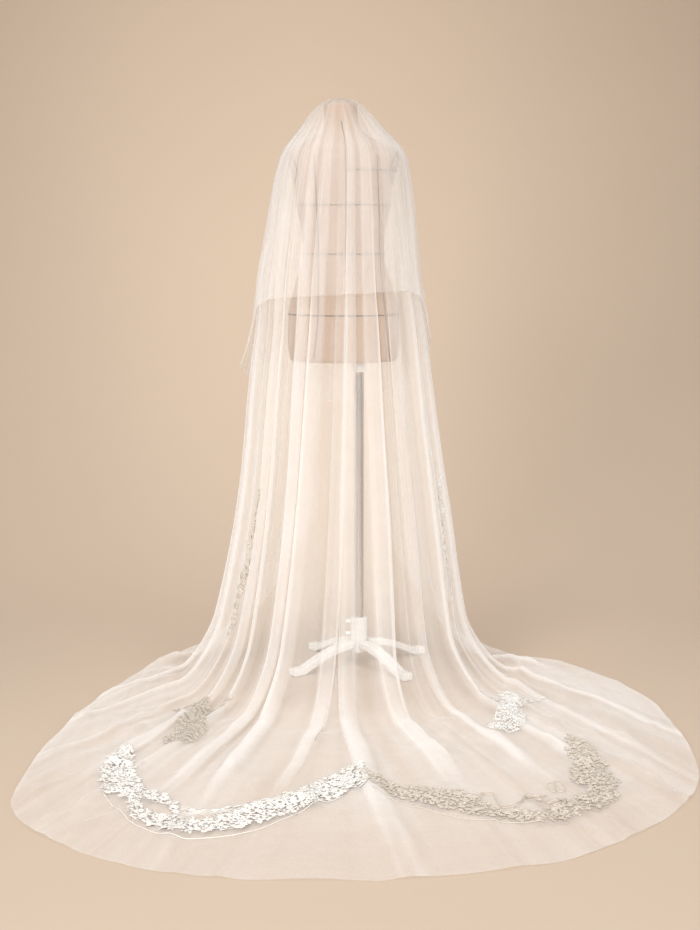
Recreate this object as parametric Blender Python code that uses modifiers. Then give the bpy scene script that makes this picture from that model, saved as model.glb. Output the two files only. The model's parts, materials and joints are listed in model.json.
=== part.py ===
"""Two-tier cathedral veil with lace motifs, worn over a limbless dress form on a four-arm stand.

Metres, +Z up. The form faces +Y and the train runs out towards -Y. Sizes are first given in the form's
own frame (X 0 at the form's centre plane, Y 0 at the stand's pole), and one empty then carries every
piece so that the whole stands with the middle of its footprint at the origin.

The veil is two cloth walls. The long tier is one panel gathered at the crown, open at the front, whose
lower part lies on the floor as a train. The short tier is a closed bell over it. Both are worked out as
a level ring for each height and an angle round the pole, with angle 0 at the middle of the back,
and the folds are ridges moved out along the wall's own normal.
"""

import bisect
import math
from typing import NamedTuple

import bmesh
import bpy
from mathutils import Vector

# Driving sizes
WALL = 0.0012
SEAM_GAP = 0.0003
MERGE_DISTANCE = 1e-6
FOOTPRINT_X = 0.0590
FOOTPRINT_Y = -0.8072
LIFT_TOP = 1.00
LACE_WALL = 0.0011
LACE_CLEARANCE = 0.0004
WINDOW_RIM = 0.60
WINDOW_MIN_RADIUS = 0.012

# Dress form and stand
FORM_BOTTOM = 0.9400
FORM_SIDES = 32
NECK_RADIUS = 0.049
NECK_LEAN = -0.0095
CAP_TOP = 1.7153
CAP_DROP = 0.0154
CAP_RINGS = 3
POLE_X = 0.047
POLE_RADIUS = 0.0145
POLE_BOTTOM = 0.150
COLLAR_RADIUS = 0.0225
COLLAR_BOTTOM = 0.905
HUB_RADIUS = 0.026
HUB_BOTTOM = 0.040
HUB_TOP = 0.150
BOLT_RADIUS = 0.0065
BOLT_LENGTH = 0.014
BOLT_HEIGHTS = (0.136, 0.098)
ARM_COUNT = 4
ARM_TURN = math.radians(36.0)
ARM_REACH = 0.250
ARM_WIDTH = 0.034
ARM_DEPTH = 0.022
ARM_ROOT = 0.078
ARM_CUTS = 5
ARM_EDGE = 0.003
ROUND_SEGMENTS = 20


class Station(NamedTuple):
    """A level ring of the long tier: its own centre, reach to each side and height of the fold ridges."""

    z: float
    centre: float
    left: float
    right: float
    back: float
    front: float
    ridge_side: float
    ridge_back: float


class Hem(NamedTuple):
    """Where the long tier ends at one angle, and how high its wall starts to turn out there."""

    phi: float
    x: float
    y: float
    z: float
    bend_z: float


class Fold(NamedTuple):
    """A ridge in the cloth: its angle at crown, floor and hem, its half-width and share of the height."""

    name: str
    top: float
    floor: float
    hem: float
    half: float
    height: float
    fine: bool


class Band(NamedTuple):
    """Inner and outer edge of the lace band on the train, as shares of the way from bend to hem."""

    phi: float
    inner: float
    outer: float


class ShortHem(NamedTuple):
    """Height of the short tier's hem at one angle, and how far it stands off the long tier there."""

    phi: float
    z: float
    flare: float


class Lace(NamedTuple):
    """A lace motif: the angles and rows of the long tier that it covers, and its colour."""

    name: str
    first: float
    last: float
    top_row: int
    low_row: int
    tone: str


class FormRing(NamedTuple):
    """A level section of the dress form."""

    z: float
    centre: float
    side: float
    back: float
    front: float


STATIONS = (
    Station(0.000, 0.000, 0.475, 0.450, 0.640, 0.214, 0.015, 0.022),
    Station(0.012, 0.000, 0.446, 0.420, 0.600, 0.211, 0.016, 0.023),
    Station(0.050, 0.000, 0.416, 0.392, 0.560, 0.208, 0.018, 0.025),
    Station(0.130, 0.000, 0.387, 0.363, 0.510, 0.205, 0.020, 0.026),
    Station(0.240, 0.000, 0.357, 0.341, 0.455, 0.200, 0.021, 0.027),
    Station(0.460, 0.000, 0.312, 0.309, 0.372, 0.190, 0.021, 0.027),
    Station(0.640, 0.000, 0.287, 0.281, 0.318, 0.180, 0.021, 0.026),
    Station(0.880, 0.000, 0.264, 0.249, 0.256, 0.170, 0.020, 0.024),
    Station(1.060, 0.000, 0.244, 0.229, 0.215, 0.162, 0.017, 0.021),
    Station(1.180, 0.000, 0.238, 0.212, 0.188, 0.158, 0.014, 0.018),
    Station(1.300, 0.000, 0.221, 0.205, 0.166, 0.154, 0.011, 0.015),
    Station(1.419, 0.000, 0.206, 0.198, 0.146, 0.148, 0.007, 0.012),
    Station(1.478, 0.000, 0.197, 0.192, 0.134, 0.130, 0.005, 0.010),
    Station(1.536, 0.000, 0.184, 0.184, 0.122, 0.114, 0.003, 0.008),
    Station(1.566, 0.000, 0.171, 0.171, 0.115, 0.104, 0.002, 0.007),
    Station(1.595, -0.002, 0.148, 0.148, 0.106, 0.094, 0.002, 0.006),
    Station(1.624, -0.004, 0.122, 0.122, 0.095, 0.084, 0.002, 0.005),
    Station(1.653, -0.006, 0.100, 0.100, 0.082, 0.074, 0.002, 0.004),
    Station(1.682, -0.009, 0.076, 0.076, 0.067, 0.063, 0.0016, 0.003),
    Station(1.7005, -0.0095, 0.052, 0.052, 0.051, 0.050, 0.0012, 0.002),
    Station(1.7100, -0.0095, 0.030, 0.030, 0.030, 0.030, 0.001, 0.001),
)

HEMS = (
    Hem(-165.0, -0.085, 0.205, 0.430, 0.640),
    Hem(-150.0, -0.168, 0.180, 0.300, 0.500),
    Hem(-135.0, -0.275, 0.165, 0.130, 0.300),
    Hem(-120.0, -0.430, 0.140, 0.020, 0.110),
    Hem(-110.0, -0.530, 0.060, 0.000, 0.030),
    Hem(-100.0, -0.605, -0.085, 0.000, 0.000),
    Hem(-88.0, -0.712, -0.450, 0.000, 0.000),
    Hem(-75.0, -0.757, -0.745, 0.000, 0.000),
    Hem(-66.0, -0.785, -1.020, 0.000, 0.000),
    Hem(-58.0, -0.785, -1.275, 0.000, 0.000),
    Hem(-48.0, -0.722, -1.480, 0.000, 0.000),
    Hem(-39.0, -0.632, -1.596, 0.000, 0.000),
    Hem(-30.0, -0.500, -1.710, 0.000, 0.000),
    Hem(-20.0, -0.370, -1.785, 0.000, 0.000),
    Hem(-10.0, -0.210, -1.820, 0.000, 0.000),
    Hem(0.0, 0.060, -1.828, 0.000, 0.000),
    Hem(10.0, 0.285, -1.785, 0.000, 0.000),
    Hem(20.0, 0.480, -1.710, 0.000, 0.000),
    Hem(30.0, 0.590, -1.620, 0.000, 0.000),
    Hem(39.0, 0.688, -1.515, 0.000, 0.000),
    Hem(50.0, 0.765, -1.405, 0.000, 0.000),
    Hem(60.0, 0.818, -1.315, 0.000, 0.000),
    Hem(70.0, 0.860, -1.210, 0.000, 0.000),
    Hem(78.0, 0.888, -1.080, 0.000, 0.000),
    Hem(84.0, 0.904, -0.850, 0.000, 0.000),
    Hem(90.0, 0.892, -0.560, 0.000, 0.000),
    Hem(95.0, 0.812, -0.220, 0.000, 0.000),
    Hem(101.0, 0.640, 0.035, 0.000, 0.000),
    Hem(110.0, 0.500, 0.100, 0.000, 0.030),
    Hem(120.0, 0.410, 0.140, 0.020, 0.110),
    Hem(132.0, 0.285, 0.165, 0.120, 0.290),
    Hem(144.0, 0.195, 0.180, 0.260, 0.460),
    Hem(155.0, 0.128, 0.200, 0.400, 0.600),
)

FOLDS = (
    Fold("front_left", -153.0, -153.0, -153.0, 0.014, 0.70, False),
    Fold("front_left_outer", -136.0, -136.0, -136.0, 0.015, 0.85, False),
    Fold("left_front", -118.0, -118.0, -117.0, 0.016, 0.90, False),
    Fold("left_side", -103.0, -101.0, -102.0, 0.017, 0.90, False),
    Fold("left_mass", -88.0, -85.0, -90.0, 0.018, 1.00, True),
    Fold("left_back", -75.0, -71.0, -78.0, 0.018, 0.90, False),
    Fold("left_crease", -61.0, -59.0, -67.0, 0.014, 0.60, False),
    Fold("left_long", -51.0, -49.0, -52.0, 0.017, 1.00, True),
    Fold("left_pair_outer", -39.0, -40.0, -43.0, 0.014, 0.90, False),
    Fold("left_pair_inner", -26.0, -31.0, -33.0, 0.014, 0.85, False),
    Fold("left_centre", -9.0, -22.0, -22.0, 0.015, 0.90, True),
    Fold("centre", 3.0, -8.0, -12.0, 0.015, 1.00, True),
    Fold("centre_branch", 10.0, 2.0, 4.0, 0.014, 0.65, False),
    Fold("right_centre", 19.0, 18.0, 16.0, 0.017, 1.00, True),
    Fold("right_crease", 31.0, 29.0, 27.0, 0.013, 0.55, False),
    Fold("right_long", 42.0, 39.0, 35.0, 0.017, 1.00, True),
    Fold("right_outer", 55.0, 54.0, 48.0, 0.016, 0.95, True),
    Fold("right_outer_crease", 66.0, 66.0, 62.0, 0.014, 0.60, False),
    Fold("right_back", 77.0, 77.0, 74.0, 0.018, 0.90, False),
    Fold("right_mass", 89.0, 87.0, 86.0, 0.018, 1.00, True),
    Fold("right_side", 102.0, 98.0, 96.0, 0.017, 0.90, False),
    Fold("right_front", 117.0, 117.0, 116.0, 0.016, 0.90, False),
    Fold("front_right_outer", 131.0, 131.0, 131.0, 0.015, 0.85, False),
    Fold("front_right", 145.0, 145.0, 145.0, 0.014, 0.70, False),
)

BANDS = (
    Band(-165.0, 0.44, 0.62),
    Band(-62.0, 0.44, 0.62),
    Band(-50.0, 0.49, 0.64),
    Band(-43.0, 0.57, 0.71),
    Band(-33.0, 0.66, 0.78),
    Band(-24.0, 0.68, 0.80),
    Band(-15.0, 0.64, 0.76),
    Band(-8.0, 0.55, 0.66),
    Band(-3.0, 0.44, 0.55),
    Band(0.0, 0.39, 0.49),
    Band(2.0, 0.41, 0.50),
    Band(7.0, 0.51, 0.59),
    Band(13.0, 0.58, 0.67),
    Band(20.0, 0.64, 0.78),
    Band(26.0, 0.71, 0.83),
    Band(36.0, 0.71, 0.84),
    Band(43.0, 0.68, 0.82),
    Band(50.0, 0.60, 0.77),
    Band(56.0, 0.51, 0.69),
    Band(62.0, 0.44, 0.62),
    Band(155.0, 0.44, 0.62),
)

SHORT_HEMS = (
    ShortHem(-180.0, 0.790, 0.010),
    ShortHem(-150.0, 0.810, 0.012),
    ShortHem(-120.0, 0.865, 0.020),
    ShortHem(-102.0, 0.895, 0.026),
    ShortHem(-92.0, 0.925, 0.024),
    ShortHem(-84.0, 1.010, 0.008),
    ShortHem(-75.0, 1.100, 0.001),
    ShortHem(-50.0, 1.128, 0.002),
    ShortHem(0.0, 1.140, 0.003),
    ShortHem(50.0, 1.150, 0.002),
    ShortHem(75.0, 1.120, 0.001),
    ShortHem(88.0, 1.020, 0.001),
    ShortHem(104.0, 0.950, 0.006),
    ShortHem(124.0, 0.870, 0.010),
    ShortHem(150.0, 0.805, 0.010),
    ShortHem(180.0, 0.790, 0.010),
)

SHORT_FOLDS = (
    Fold("short_front_left", -160.0, -160.0, -158.0, 0.016, 0.9, False),
    Fold("short_left_front", -136.0, -136.0, -134.0, 0.016, 0.9, False),
    Fold("short_left_corner", -114.0, -114.0, -112.0, 0.016, 1.0, False),
    Fold("short_left_side", -94.0, -94.0, -95.0, 0.015, 0.6, False),
    Fold("short_left_back", -72.0, -72.0, -74.0, 0.014, 0.6, False),
    Fold("short_left_long", -52.0, -52.0, -54.0, 0.014, 0.9, False),
    Fold("short_left_inner", -33.0, -33.0, -35.0, 0.013, 0.7, False),
    Fold("short_centre_left", -14.0, -14.0, -15.0, 0.013, 0.9, False),
    Fold("short_centre", 5.0, 5.0, 4.0, 0.013, 1.0, False),
    Fold("short_right_inner", 24.0, 24.0, 25.0, 0.013, 0.9, False),
    Fold("short_right_long", 46.0, 46.0, 47.0, 0.014, 1.0, False),
    Fold("short_right_back", 68.0, 68.0, 70.0, 0.014, 0.8, False),
    Fold("short_right_side", 92.0, 92.0, 93.0, 0.015, 0.4, False),
    Fold("short_right_corner", 114.0, 114.0, 113.0, 0.016, 1.0, False),
    Fold("short_right_front", 137.0, 137.0, 135.0, 0.016, 0.9, False),
    Fold("short_front_right", 160.0, 160.0, 158.0, 0.016, 0.9, False),
)

HANG_HEIGHTS = (
    1.7100, 1.7005, 1.678, 1.640, 1.595, 1.545, 1.460, 1.340, 1.180,
    0.930, 0.640, 0.360, 0.160, 0.045, 0.009, 0.000,
)
STRIP_TOP = 10
STRIP_SHORT_LOW = 12
STRIP_LONG_LOW = len(HANG_HEIGHTS) - 1
MOTIF_TOP = len(HANG_HEIGHTS)
MOTIF_LOW = MOTIF_TOP + 2
BAND_TOP = MOTIF_TOP + 3
BAND_LOW = BAND_TOP + 2

LACES = (
    Lace("lace_train_left", -50.0, -1.0, BAND_TOP, BAND_LOW, "silver_white"),
    Lace("lace_train_right", 2.0, 58.0, BAND_TOP, BAND_LOW, "champagne"),
    Lace("lace_motif_left", -57.0, -41.0, MOTIF_TOP, MOTIF_LOW, "champagne"),
    Lace("lace_motif_right", 42.0, 58.0, MOTIF_TOP, MOTIF_LOW, "silver_white"),
    Lace("lace_side_left", -64.0, -58.0, STRIP_TOP, STRIP_LONG_LOW, "champagne"),
    Lace("lace_side_right", 62.0, 70.0, STRIP_TOP, STRIP_SHORT_LOW, "silver_white"),
)

FORM_RINGS = (
    FormRing(0.9400, 0.000, 0.156, 0.110, 0.100),
    FormRing(0.9480, 0.000, 0.162, 0.116, 0.105),
    FormRing(1.0000, 0.000, 0.168, 0.120, 0.106),
    FormRing(1.0800, 0.000, 0.166, 0.118, 0.106),
    FormRing(1.1600, 0.000, 0.148, 0.106, 0.100),
    FormRing(1.2600, 0.000, 0.120, 0.085, 0.091),
    FormRing(1.3300, 0.000, 0.126, 0.088, 0.104),
    FormRing(1.4000, 0.000, 0.140, 0.095, 0.128),
    FormRing(1.4700, 0.000, 0.148, 0.100, 0.112),
    FormRing(1.5200, 0.000, 0.162, 0.097, 0.084),
    FormRing(1.5480, 0.000, 0.166, 0.088, 0.068),
    FormRing(1.5700, 0.000, 0.148, 0.078, 0.056),
    FormRing(1.5920, -0.001, 0.108, 0.068, 0.052),
    FormRing(1.6120, -0.003, 0.068, 0.059, 0.051),
    FormRing(1.6400, -0.006, 0.052, 0.053, 0.050),
    FormRing(1.6900, -0.0095, 0.049, 0.049, 0.049),
)

INNER_SHARES = (0.14, 0.43, 0.74)
FOLD_SPREAD = 0.42
FLANK_SPREAD = 0.60
FLANK_SHARE = 0.30
RIDGE_AT_HEM = 0.12
SHORT_HUNG_ROWS = 8
SHORT_HEM_ROWS = 2
FLARE_POWER = 8
NORMAL_STEP = 0.003
SHORT_RIDGE = 0.55
SHORT_GAP_CROWN = 0.0008
SHORT_GAP_HEM = 0.0030
SHORT_CROWN_RINGS = ((1.7165, 0.0), (1.7138, 0.029))

COLOURS = {
    "tulle": ((0.88, 0.83, 0.76, 1.0), 0.62, 0.0),
    "silver_white": ((0.90, 0.90, 0.88, 1.0), 0.38, 0.15),
    "champagne": ((0.62, 0.54, 0.45, 1.0), 0.42, 0.15),
    "form_cloth": ((0.80, 0.72, 0.62, 1.0), 0.85, 0.0),
    "steel": ((0.60, 0.59, 0.57, 1.0), 0.25, 1.0),
    "white_enamel": ((0.86, 0.85, 0.83, 1.0), 0.35, 0.0),
}


def clear_scene():
    """Remove whatever objects the file holds."""
    for obj in list(bpy.data.objects):
        bpy.data.objects.remove(obj, do_unlink=True)


def make_materials():
    """Make one Principled material for each finish in COLOURS."""
    made = {}
    for name, (colour, roughness, metallic) in COLOURS.items():
        material = bpy.data.materials.new(name)
        material.use_nodes = True
        shader = material.node_tree.nodes["Principled BSDF"]
        shader.inputs["Base Color"].default_value = colour
        shader.inputs["Roughness"].default_value = roughness
        shader.inputs["Metallic"].default_value = metallic
        material.diffuse_color = colour
        made[name] = material
    return made


def lookup(rows, column, key):
    """Read one column of a table at a key between its rows, on a curve that never overshoots."""
    keys = [row[0] for row in rows]
    values = [getattr(row, column) for row in rows]
    i = min(max(bisect.bisect_right(keys, key) - 1, 0), len(keys) - 2)
    steps = [(values[k + 1] - values[k]) / (keys[k + 1] - keys[k]) for k in range(len(keys) - 1)]

    def slope(k):
        if k == 0 or k == len(keys) - 1:
            return steps[min(k, len(steps) - 1)]
        before, after = steps[k - 1], steps[k]
        return 0.0 if before * after <= 0.0 else 2.0 * before * after / (before + after)

    span = keys[i + 1] - keys[i]
    t = min(max((key - keys[i]) / span, 0.0), 1.0)
    rise = 3.0 * t * t - 2.0 * t ** 3
    return (
        values[i] * (1.0 - rise)
        + values[i + 1] * rise
        + span * (slope(i) * (t ** 3 - 2.0 * t * t + t) + slope(i + 1) * (t ** 3 - t * t))
    )


def ring_point(phi, z):
    """Point of the long tier's plain wall at an angle in degrees and a height."""
    turn = math.radians(phi)
    half = lookup(STATIONS, "left" if phi < 0.0 else "right", z)
    depth = lookup(STATIONS, "back" if math.cos(turn) > 0.0 else "front", z)
    return Vector((lookup(STATIONS, "centre", z) + half * math.sin(turn), -depth * math.cos(turn), z))


def ridge_height(phi, z):
    """Height of a full fold ridge at an angle and a height: tallest at the back, least at the sides."""
    facing = max(math.cos(math.radians(phi)), 0.0) ** 2
    side = lookup(STATIONS, "ridge_side", z)
    return side + (lookup(STATIONS, "ridge_back", z) - side) * facing


def train_shares(phi):
    """Shares of the way from bend to hem at which the rows of the train lie."""
    inner, outer = lookup(BANDS, "inner", phi), lookup(BANDS, "outer", phi)
    return [share * inner for share in INNER_SHARES] + [inner, (inner + outer) / 2.0, outer, 1.0]


ROW_COUNT = len(HANG_HEIGHTS) + len(INNER_SHARES) + 4


def long_point(phi, row):
    """Point of the long tier's plain wall at an angle, in one of its rows from crown to hem."""
    bend_z = lookup(HEMS, "bend_z", phi)
    if row < len(HANG_HEIGHTS):
        z = HANG_HEIGHTS[row]
        lifted = bend_z + z * (1.0 - bend_z / LIFT_TOP)
        return ring_point(phi, lifted if z < LIFT_TOP else z)
    share = train_shares(phi)[row - len(HANG_HEIGHTS)]
    bend = ring_point(phi, bend_z)
    hem = Vector((lookup(HEMS, "x", phi), lookup(HEMS, "y", phi), lookup(HEMS, "z", phi)))
    return bend.lerp(hem, share)


def fold_angle(fold, row):
    """Angle of a fold's ridge in one row of the long tier."""
    last_hang = len(HANG_HEIGHTS) - 1
    if row <= last_hang:
        fall = 1.0 - HANG_HEIGHTS[row] / HANG_HEIGHTS[0]
        return fold.top + (fold.floor - fold.top) * fall
    share = train_shares(fold.floor)[row - last_hang - 1]
    return fold.floor + (fold.hem - fold.floor) * share


def wall_speed(surface, phi, row):
    """Metres that a degree of angle spans in one row of a wall."""
    return (surface(phi + 0.5, row) - surface(phi - 0.5, row)).length


def column_angles(surface, folds, angle_of, row, start, end):
    """Angle and ridge share of each column in a row: the feet, flanks and crest of every fold."""
    centres = [angle_of(fold, row) for fold in folds]
    bounds = [start] + centres + [end]
    columns = []
    for k, fold in enumerate(folds):
        centre = centres[k]
        flank = fold.half / wall_speed(surface, centre, row)
        room_before = FOLD_SPREAD * (centre - bounds[k])
        room_after = FOLD_SPREAD * (bounds[k + 2] - centre)
        if fold.fine:
            columns.append((centre - room_before, 0.0))
        foot_height = FLANK_SHARE * fold.height if fold.fine else 0.0
        columns.append((centre - min(flank, FLANK_SPREAD * room_before), foot_height))
        columns.append((centre, fold.height))
        columns.append((centre + min(flank, FLANK_SPREAD * room_after), foot_height))
        if fold.fine:
            columns.append((centre + room_after, 0.0))
    return columns


def wall_normal(surface, phi, row, last_row):
    """Outward normal of a plain wall at an angle in one row."""
    around = surface(phi + 0.5, row) - surface(phi - 0.5, row)
    down = surface(phi, min(row + 1, last_row)) - surface(phi, max(row - 1, 0))
    return down.cross(around).normalized()


def grid_from_rows(rows, closed):
    """Make a mesh of a sheet from rows of points: a grid whose vertices are moved to their places."""
    mesh = bmesh.new()
    down, across = len(rows), len(rows[0])
    row_of = mesh.verts.layers.int.new("row")
    column_of = mesh.verts.layers.int.new("column")
    bmesh.ops.create_grid(mesh, x_segments=across - 1, y_segments=down - 1, size=1.0)
    for vert in mesh.verts:
        vert[column_of] = round((vert.co.x + 1.0) / 2.0 * (across - 1))
        vert[row_of] = round((1.0 - vert.co.y) / 2.0 * (down - 1))
        vert.co = rows[vert[row_of]][vert[column_of]]
    if closed:
        bmesh.ops.remove_doubles(mesh, verts=mesh.verts[:], dist=MERGE_DISTANCE)
    bmesh.ops.triangulate(mesh, faces=mesh.faces[:], quad_method="FIXED")
    mesh.normal_update()
    return mesh


def add_object(name, mesh_data, material, collection, parent, location=(0.0, 0.0, 0.0)):
    """Put a mesh or curve in the part as a named object, carried by the frame empty."""
    if isinstance(mesh_data, bmesh.types.BMesh):
        data = bpy.data.meshes.new(name)
        mesh_data.to_mesh(data)
        mesh_data.free()
    else:
        data = mesh_data
    data.materials.append(material)
    obj = bpy.data.objects.new(name, data)
    obj.location = location
    obj.parent = parent
    collection.objects.link(obj)
    return obj


def thicken(obj, wall):
    """Give a sheet its wall, outside the sheet's own surface."""
    solidify = obj.modifiers.new("wall", "SOLIDIFY")
    solidify.thickness = wall
    solidify.offset = 1.0
    solidify.use_even_offset = False
    solidify.use_rim = True


def long_tier_rows():
    """Points of the long tier from crown to hem, with the angle of each column in the lowest hung row."""
    start, end = HEMS[0].phi, HEMS[-1].phi
    last_row = ROW_COUNT - 1
    rows = []
    for row in range(ROW_COUNT):
        columns = [(start, 0.0)]
        columns += column_angles(long_point, FOLDS, fold_angle, row, start, end)
        columns.append((end, 0.0))
        line = []
        for phi, share in columns:
            base = long_point(phi, row)
            height = ridge_height(phi, base.z) * share
            if row >= len(HANG_HEIGHTS):
                along = train_shares(phi)[row - len(HANG_HEIGHTS)]
                height *= 1.0 + (RIDGE_AT_HEM - 1.0) * along
            line.append(base + wall_normal(long_point, phi, row, last_row) * height)
        rows.append(line)
    return rows


def column_floor_angles():
    """Angle of every column of the long tier in its lowest hung row."""
    start, end = HEMS[0].phi, HEMS[-1].phi
    row = len(HANG_HEIGHTS) - 1
    return [start] + [phi for phi, _ in column_angles(long_point, FOLDS, fold_angle, row, start, end)] + [end]


def inner_radius(face):
    """Radius of the circle that fits inside a triangle."""
    return 2.0 * face.calc_area() / face.calc_perimeter()


def lace_sheet(rows, lace, angles):
    """Lace motif as cells of the long tier, moved out past its wall, with a window in each wide triangle."""
    sheet = grid_from_rows(rows, closed=False)
    row_of = sheet.verts.layers.int["row"]
    column_of = sheet.verts.layers.int["column"]
    moved = [vert.co + vert.normal * (WALL + LACE_CLEARANCE) for vert in sheet.verts]
    outside = []
    for face in sheet.faces:
        row = min(vert[row_of] for vert in face.verts)
        column = min(vert[column_of] for vert in face.verts)
        middle = (angles[column] + angles[column + 1]) / 2.0
        if not (lace.first <= middle <= lace.last and lace.top_row <= row < lace.low_row):
            outside.append(face)
    for vert, point in zip(sheet.verts, moved):
        vert.co = point
    bmesh.ops.delete(sheet, geom=outside, context="FACES")
    windows = [face for face in sheet.faces if inner_radius(face) > WINDOW_MIN_RADIUS]
    for face in windows:
        bmesh.ops.inset_individual(sheet, faces=[face], thickness=WINDOW_RIM * inner_radius(face))
    bmesh.ops.delete(sheet, geom=windows, context="FACES")
    sheet.normal_update()
    return sheet


def build_long_tier(materials, collection, parent):
    """Long tier and the lace that lies on it."""
    rows = long_tier_rows()
    tier = add_object("long_tier", grid_from_rows(rows, closed=False), materials["tulle"], collection, parent)
    thicken(tier, WALL)
    angles = column_floor_angles()
    for lace in LACES:
        sheet = lace_sheet(rows, lace, angles)
        piece = add_object(lace.name, sheet, materials[lace.tone], collection, parent)
        thicken(piece, LACE_WALL)


def short_fall(phi, row):
    """Height of a row of the short tier at an angle, and its share of the way from crown to hem."""
    hem = lookup(SHORT_HEMS, "z", wrapped(phi))
    if row < SHORT_HUNG_ROWS:
        z = HANG_HEIGHTS[row + 1]
    else:
        z = HANG_HEIGHTS[SHORT_HUNG_ROWS]
        z += (hem - z) * (row + 1 - SHORT_HUNG_ROWS) / SHORT_HEM_ROWS
    return z, (CAP_TOP - z) / (CAP_TOP - hem)


def wrapped(phi):
    """The same angle between -180 and 180 degrees."""
    return (phi + 180.0) % 360.0 - 180.0


def short_point(phi, row):
    """Point of the short tier's plain wall: outside the long tier's ridges, flaring at its hem."""
    z, share = short_fall(phi, row)
    turn = wrapped(phi)
    around = ring_point(turn + 0.5, z) - ring_point(turn - 0.5, z)
    down = ring_point(turn, z - NORMAL_STEP) - ring_point(turn, z + NORMAL_STEP)
    out = down.cross(around).normalized()
    gap = SHORT_GAP_CROWN + (SHORT_GAP_HEM - SHORT_GAP_CROWN) * min(share * 2.0, 1.0)
    flare = lookup(SHORT_HEMS, "flare", turn) * share ** FLARE_POWER
    return ring_point(turn, z) + out * (ridge_height(turn, z) + WALL + gap + flare)


def short_fold_angle(fold, row):
    """Angle of a fold's ridge in one row of the short tier."""
    return fold.top + (fold.hem - fold.top) * row / (SHORT_HUNG_ROWS + SHORT_HEM_ROWS - 1)


def short_columns(row):
    """Columns of the closed short tier in one row, one more between folds, the first repeated last."""
    before = SHORT_FOLDS[-1].top - 360.0
    ridges = column_angles(short_point, SHORT_FOLDS, short_fold_angle, row, before, SHORT_FOLDS[0].top + 360.0)
    ridges.append((ridges[0][0] + 360.0, ridges[0][1]))
    columns = []
    for (phi, share), (next_phi, next_share) in zip(ridges, ridges[1:]):
        columns.append((phi, share))
        if share == 0.0 and next_share == 0.0:
            columns.append(((phi + next_phi) / 2.0, 0.0))
    return columns + [ridges[-1]]


def build_short_tier(materials, collection, parent):
    """Short tier: a closed bell from the crown to its own hem."""
    last_row = SHORT_HUNG_ROWS + SHORT_HEM_ROWS - 1
    rows = []
    for z, radius in SHORT_CROWN_RINGS:
        turns = [math.radians(phi) for phi, _ in short_columns(0)]
        rows.append([Vector((NECK_LEAN + radius * math.sin(t), -radius * math.cos(t), z)) for t in turns])
    for row in range(last_row + 1):
        line = []
        for phi, share in short_columns(row):
            base = short_point(phi, row)
            height = ridge_height(wrapped(phi), base.z) * SHORT_RIDGE * share
            line.append(base + wall_normal(short_point, phi, row, last_row) * height)
        line[-1] = line[0].copy()
        rows.append(line)
    tier = add_object("short_tier", grid_from_rows(rows, closed=True), materials["tulle"], collection, parent)
    thicken(tier, WALL)


def build_form(materials, collection, parent):
    """Dress form: level sections from its flat base to the neck, closed by a low dome."""
    rows = []
    sections = [(ring.z, ring.centre, ring.side, ring.back, ring.front) for ring in FORM_RINGS]
    for k in range(CAP_RINGS, 0, -1):
        radius = NECK_RADIUS * k / CAP_RINGS
        z = CAP_TOP - CAP_DROP * (radius / NECK_RADIUS) ** 2
        sections.append((z, NECK_LEAN, radius, radius, radius))
    sections.append((CAP_TOP, NECK_LEAN, 0.0, 0.0, 0.0))
    for z, centre, side, back, front in reversed(sections):
        line = []
        for step in range(FORM_SIDES + 1):
            turn = 2.0 * math.pi * (step % FORM_SIDES) / FORM_SIDES - math.pi
            depth = back if math.cos(turn) > 0.0 else front
            line.append(Vector((centre + side * math.sin(turn), -depth * math.cos(turn), z)))
        rows.append(line)
    form = grid_from_rows(rows, closed=True)
    rim = [edge for edge in form.edges if edge.is_boundary]
    bmesh.ops.holes_fill(form, edges=rim, sides=0)
    bmesh.ops.recalc_face_normals(form, faces=form.faces[:])
    add_object("dress_form", form, materials["form_cloth"], collection, parent)


def round_bar(name, radius, bottom, top, material, collection, parent, bevel=0.0):
    """Upright round bar on the pole's axis."""
    mesh = bmesh.new()
    bmesh.ops.create_cone(
        mesh, cap_ends=True, segments=ROUND_SEGMENTS, radius1=radius, radius2=radius, depth=top - bottom
    )
    bar = add_object(name, mesh, material, collection, parent, (POLE_X, 0.0, (top + bottom) / 2.0))
    if bevel > 0.0:
        edge = bar.modifiers.new("edge", "BEVEL")
        edge.width = bevel
        edge.segments = 1
    return bar


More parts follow.
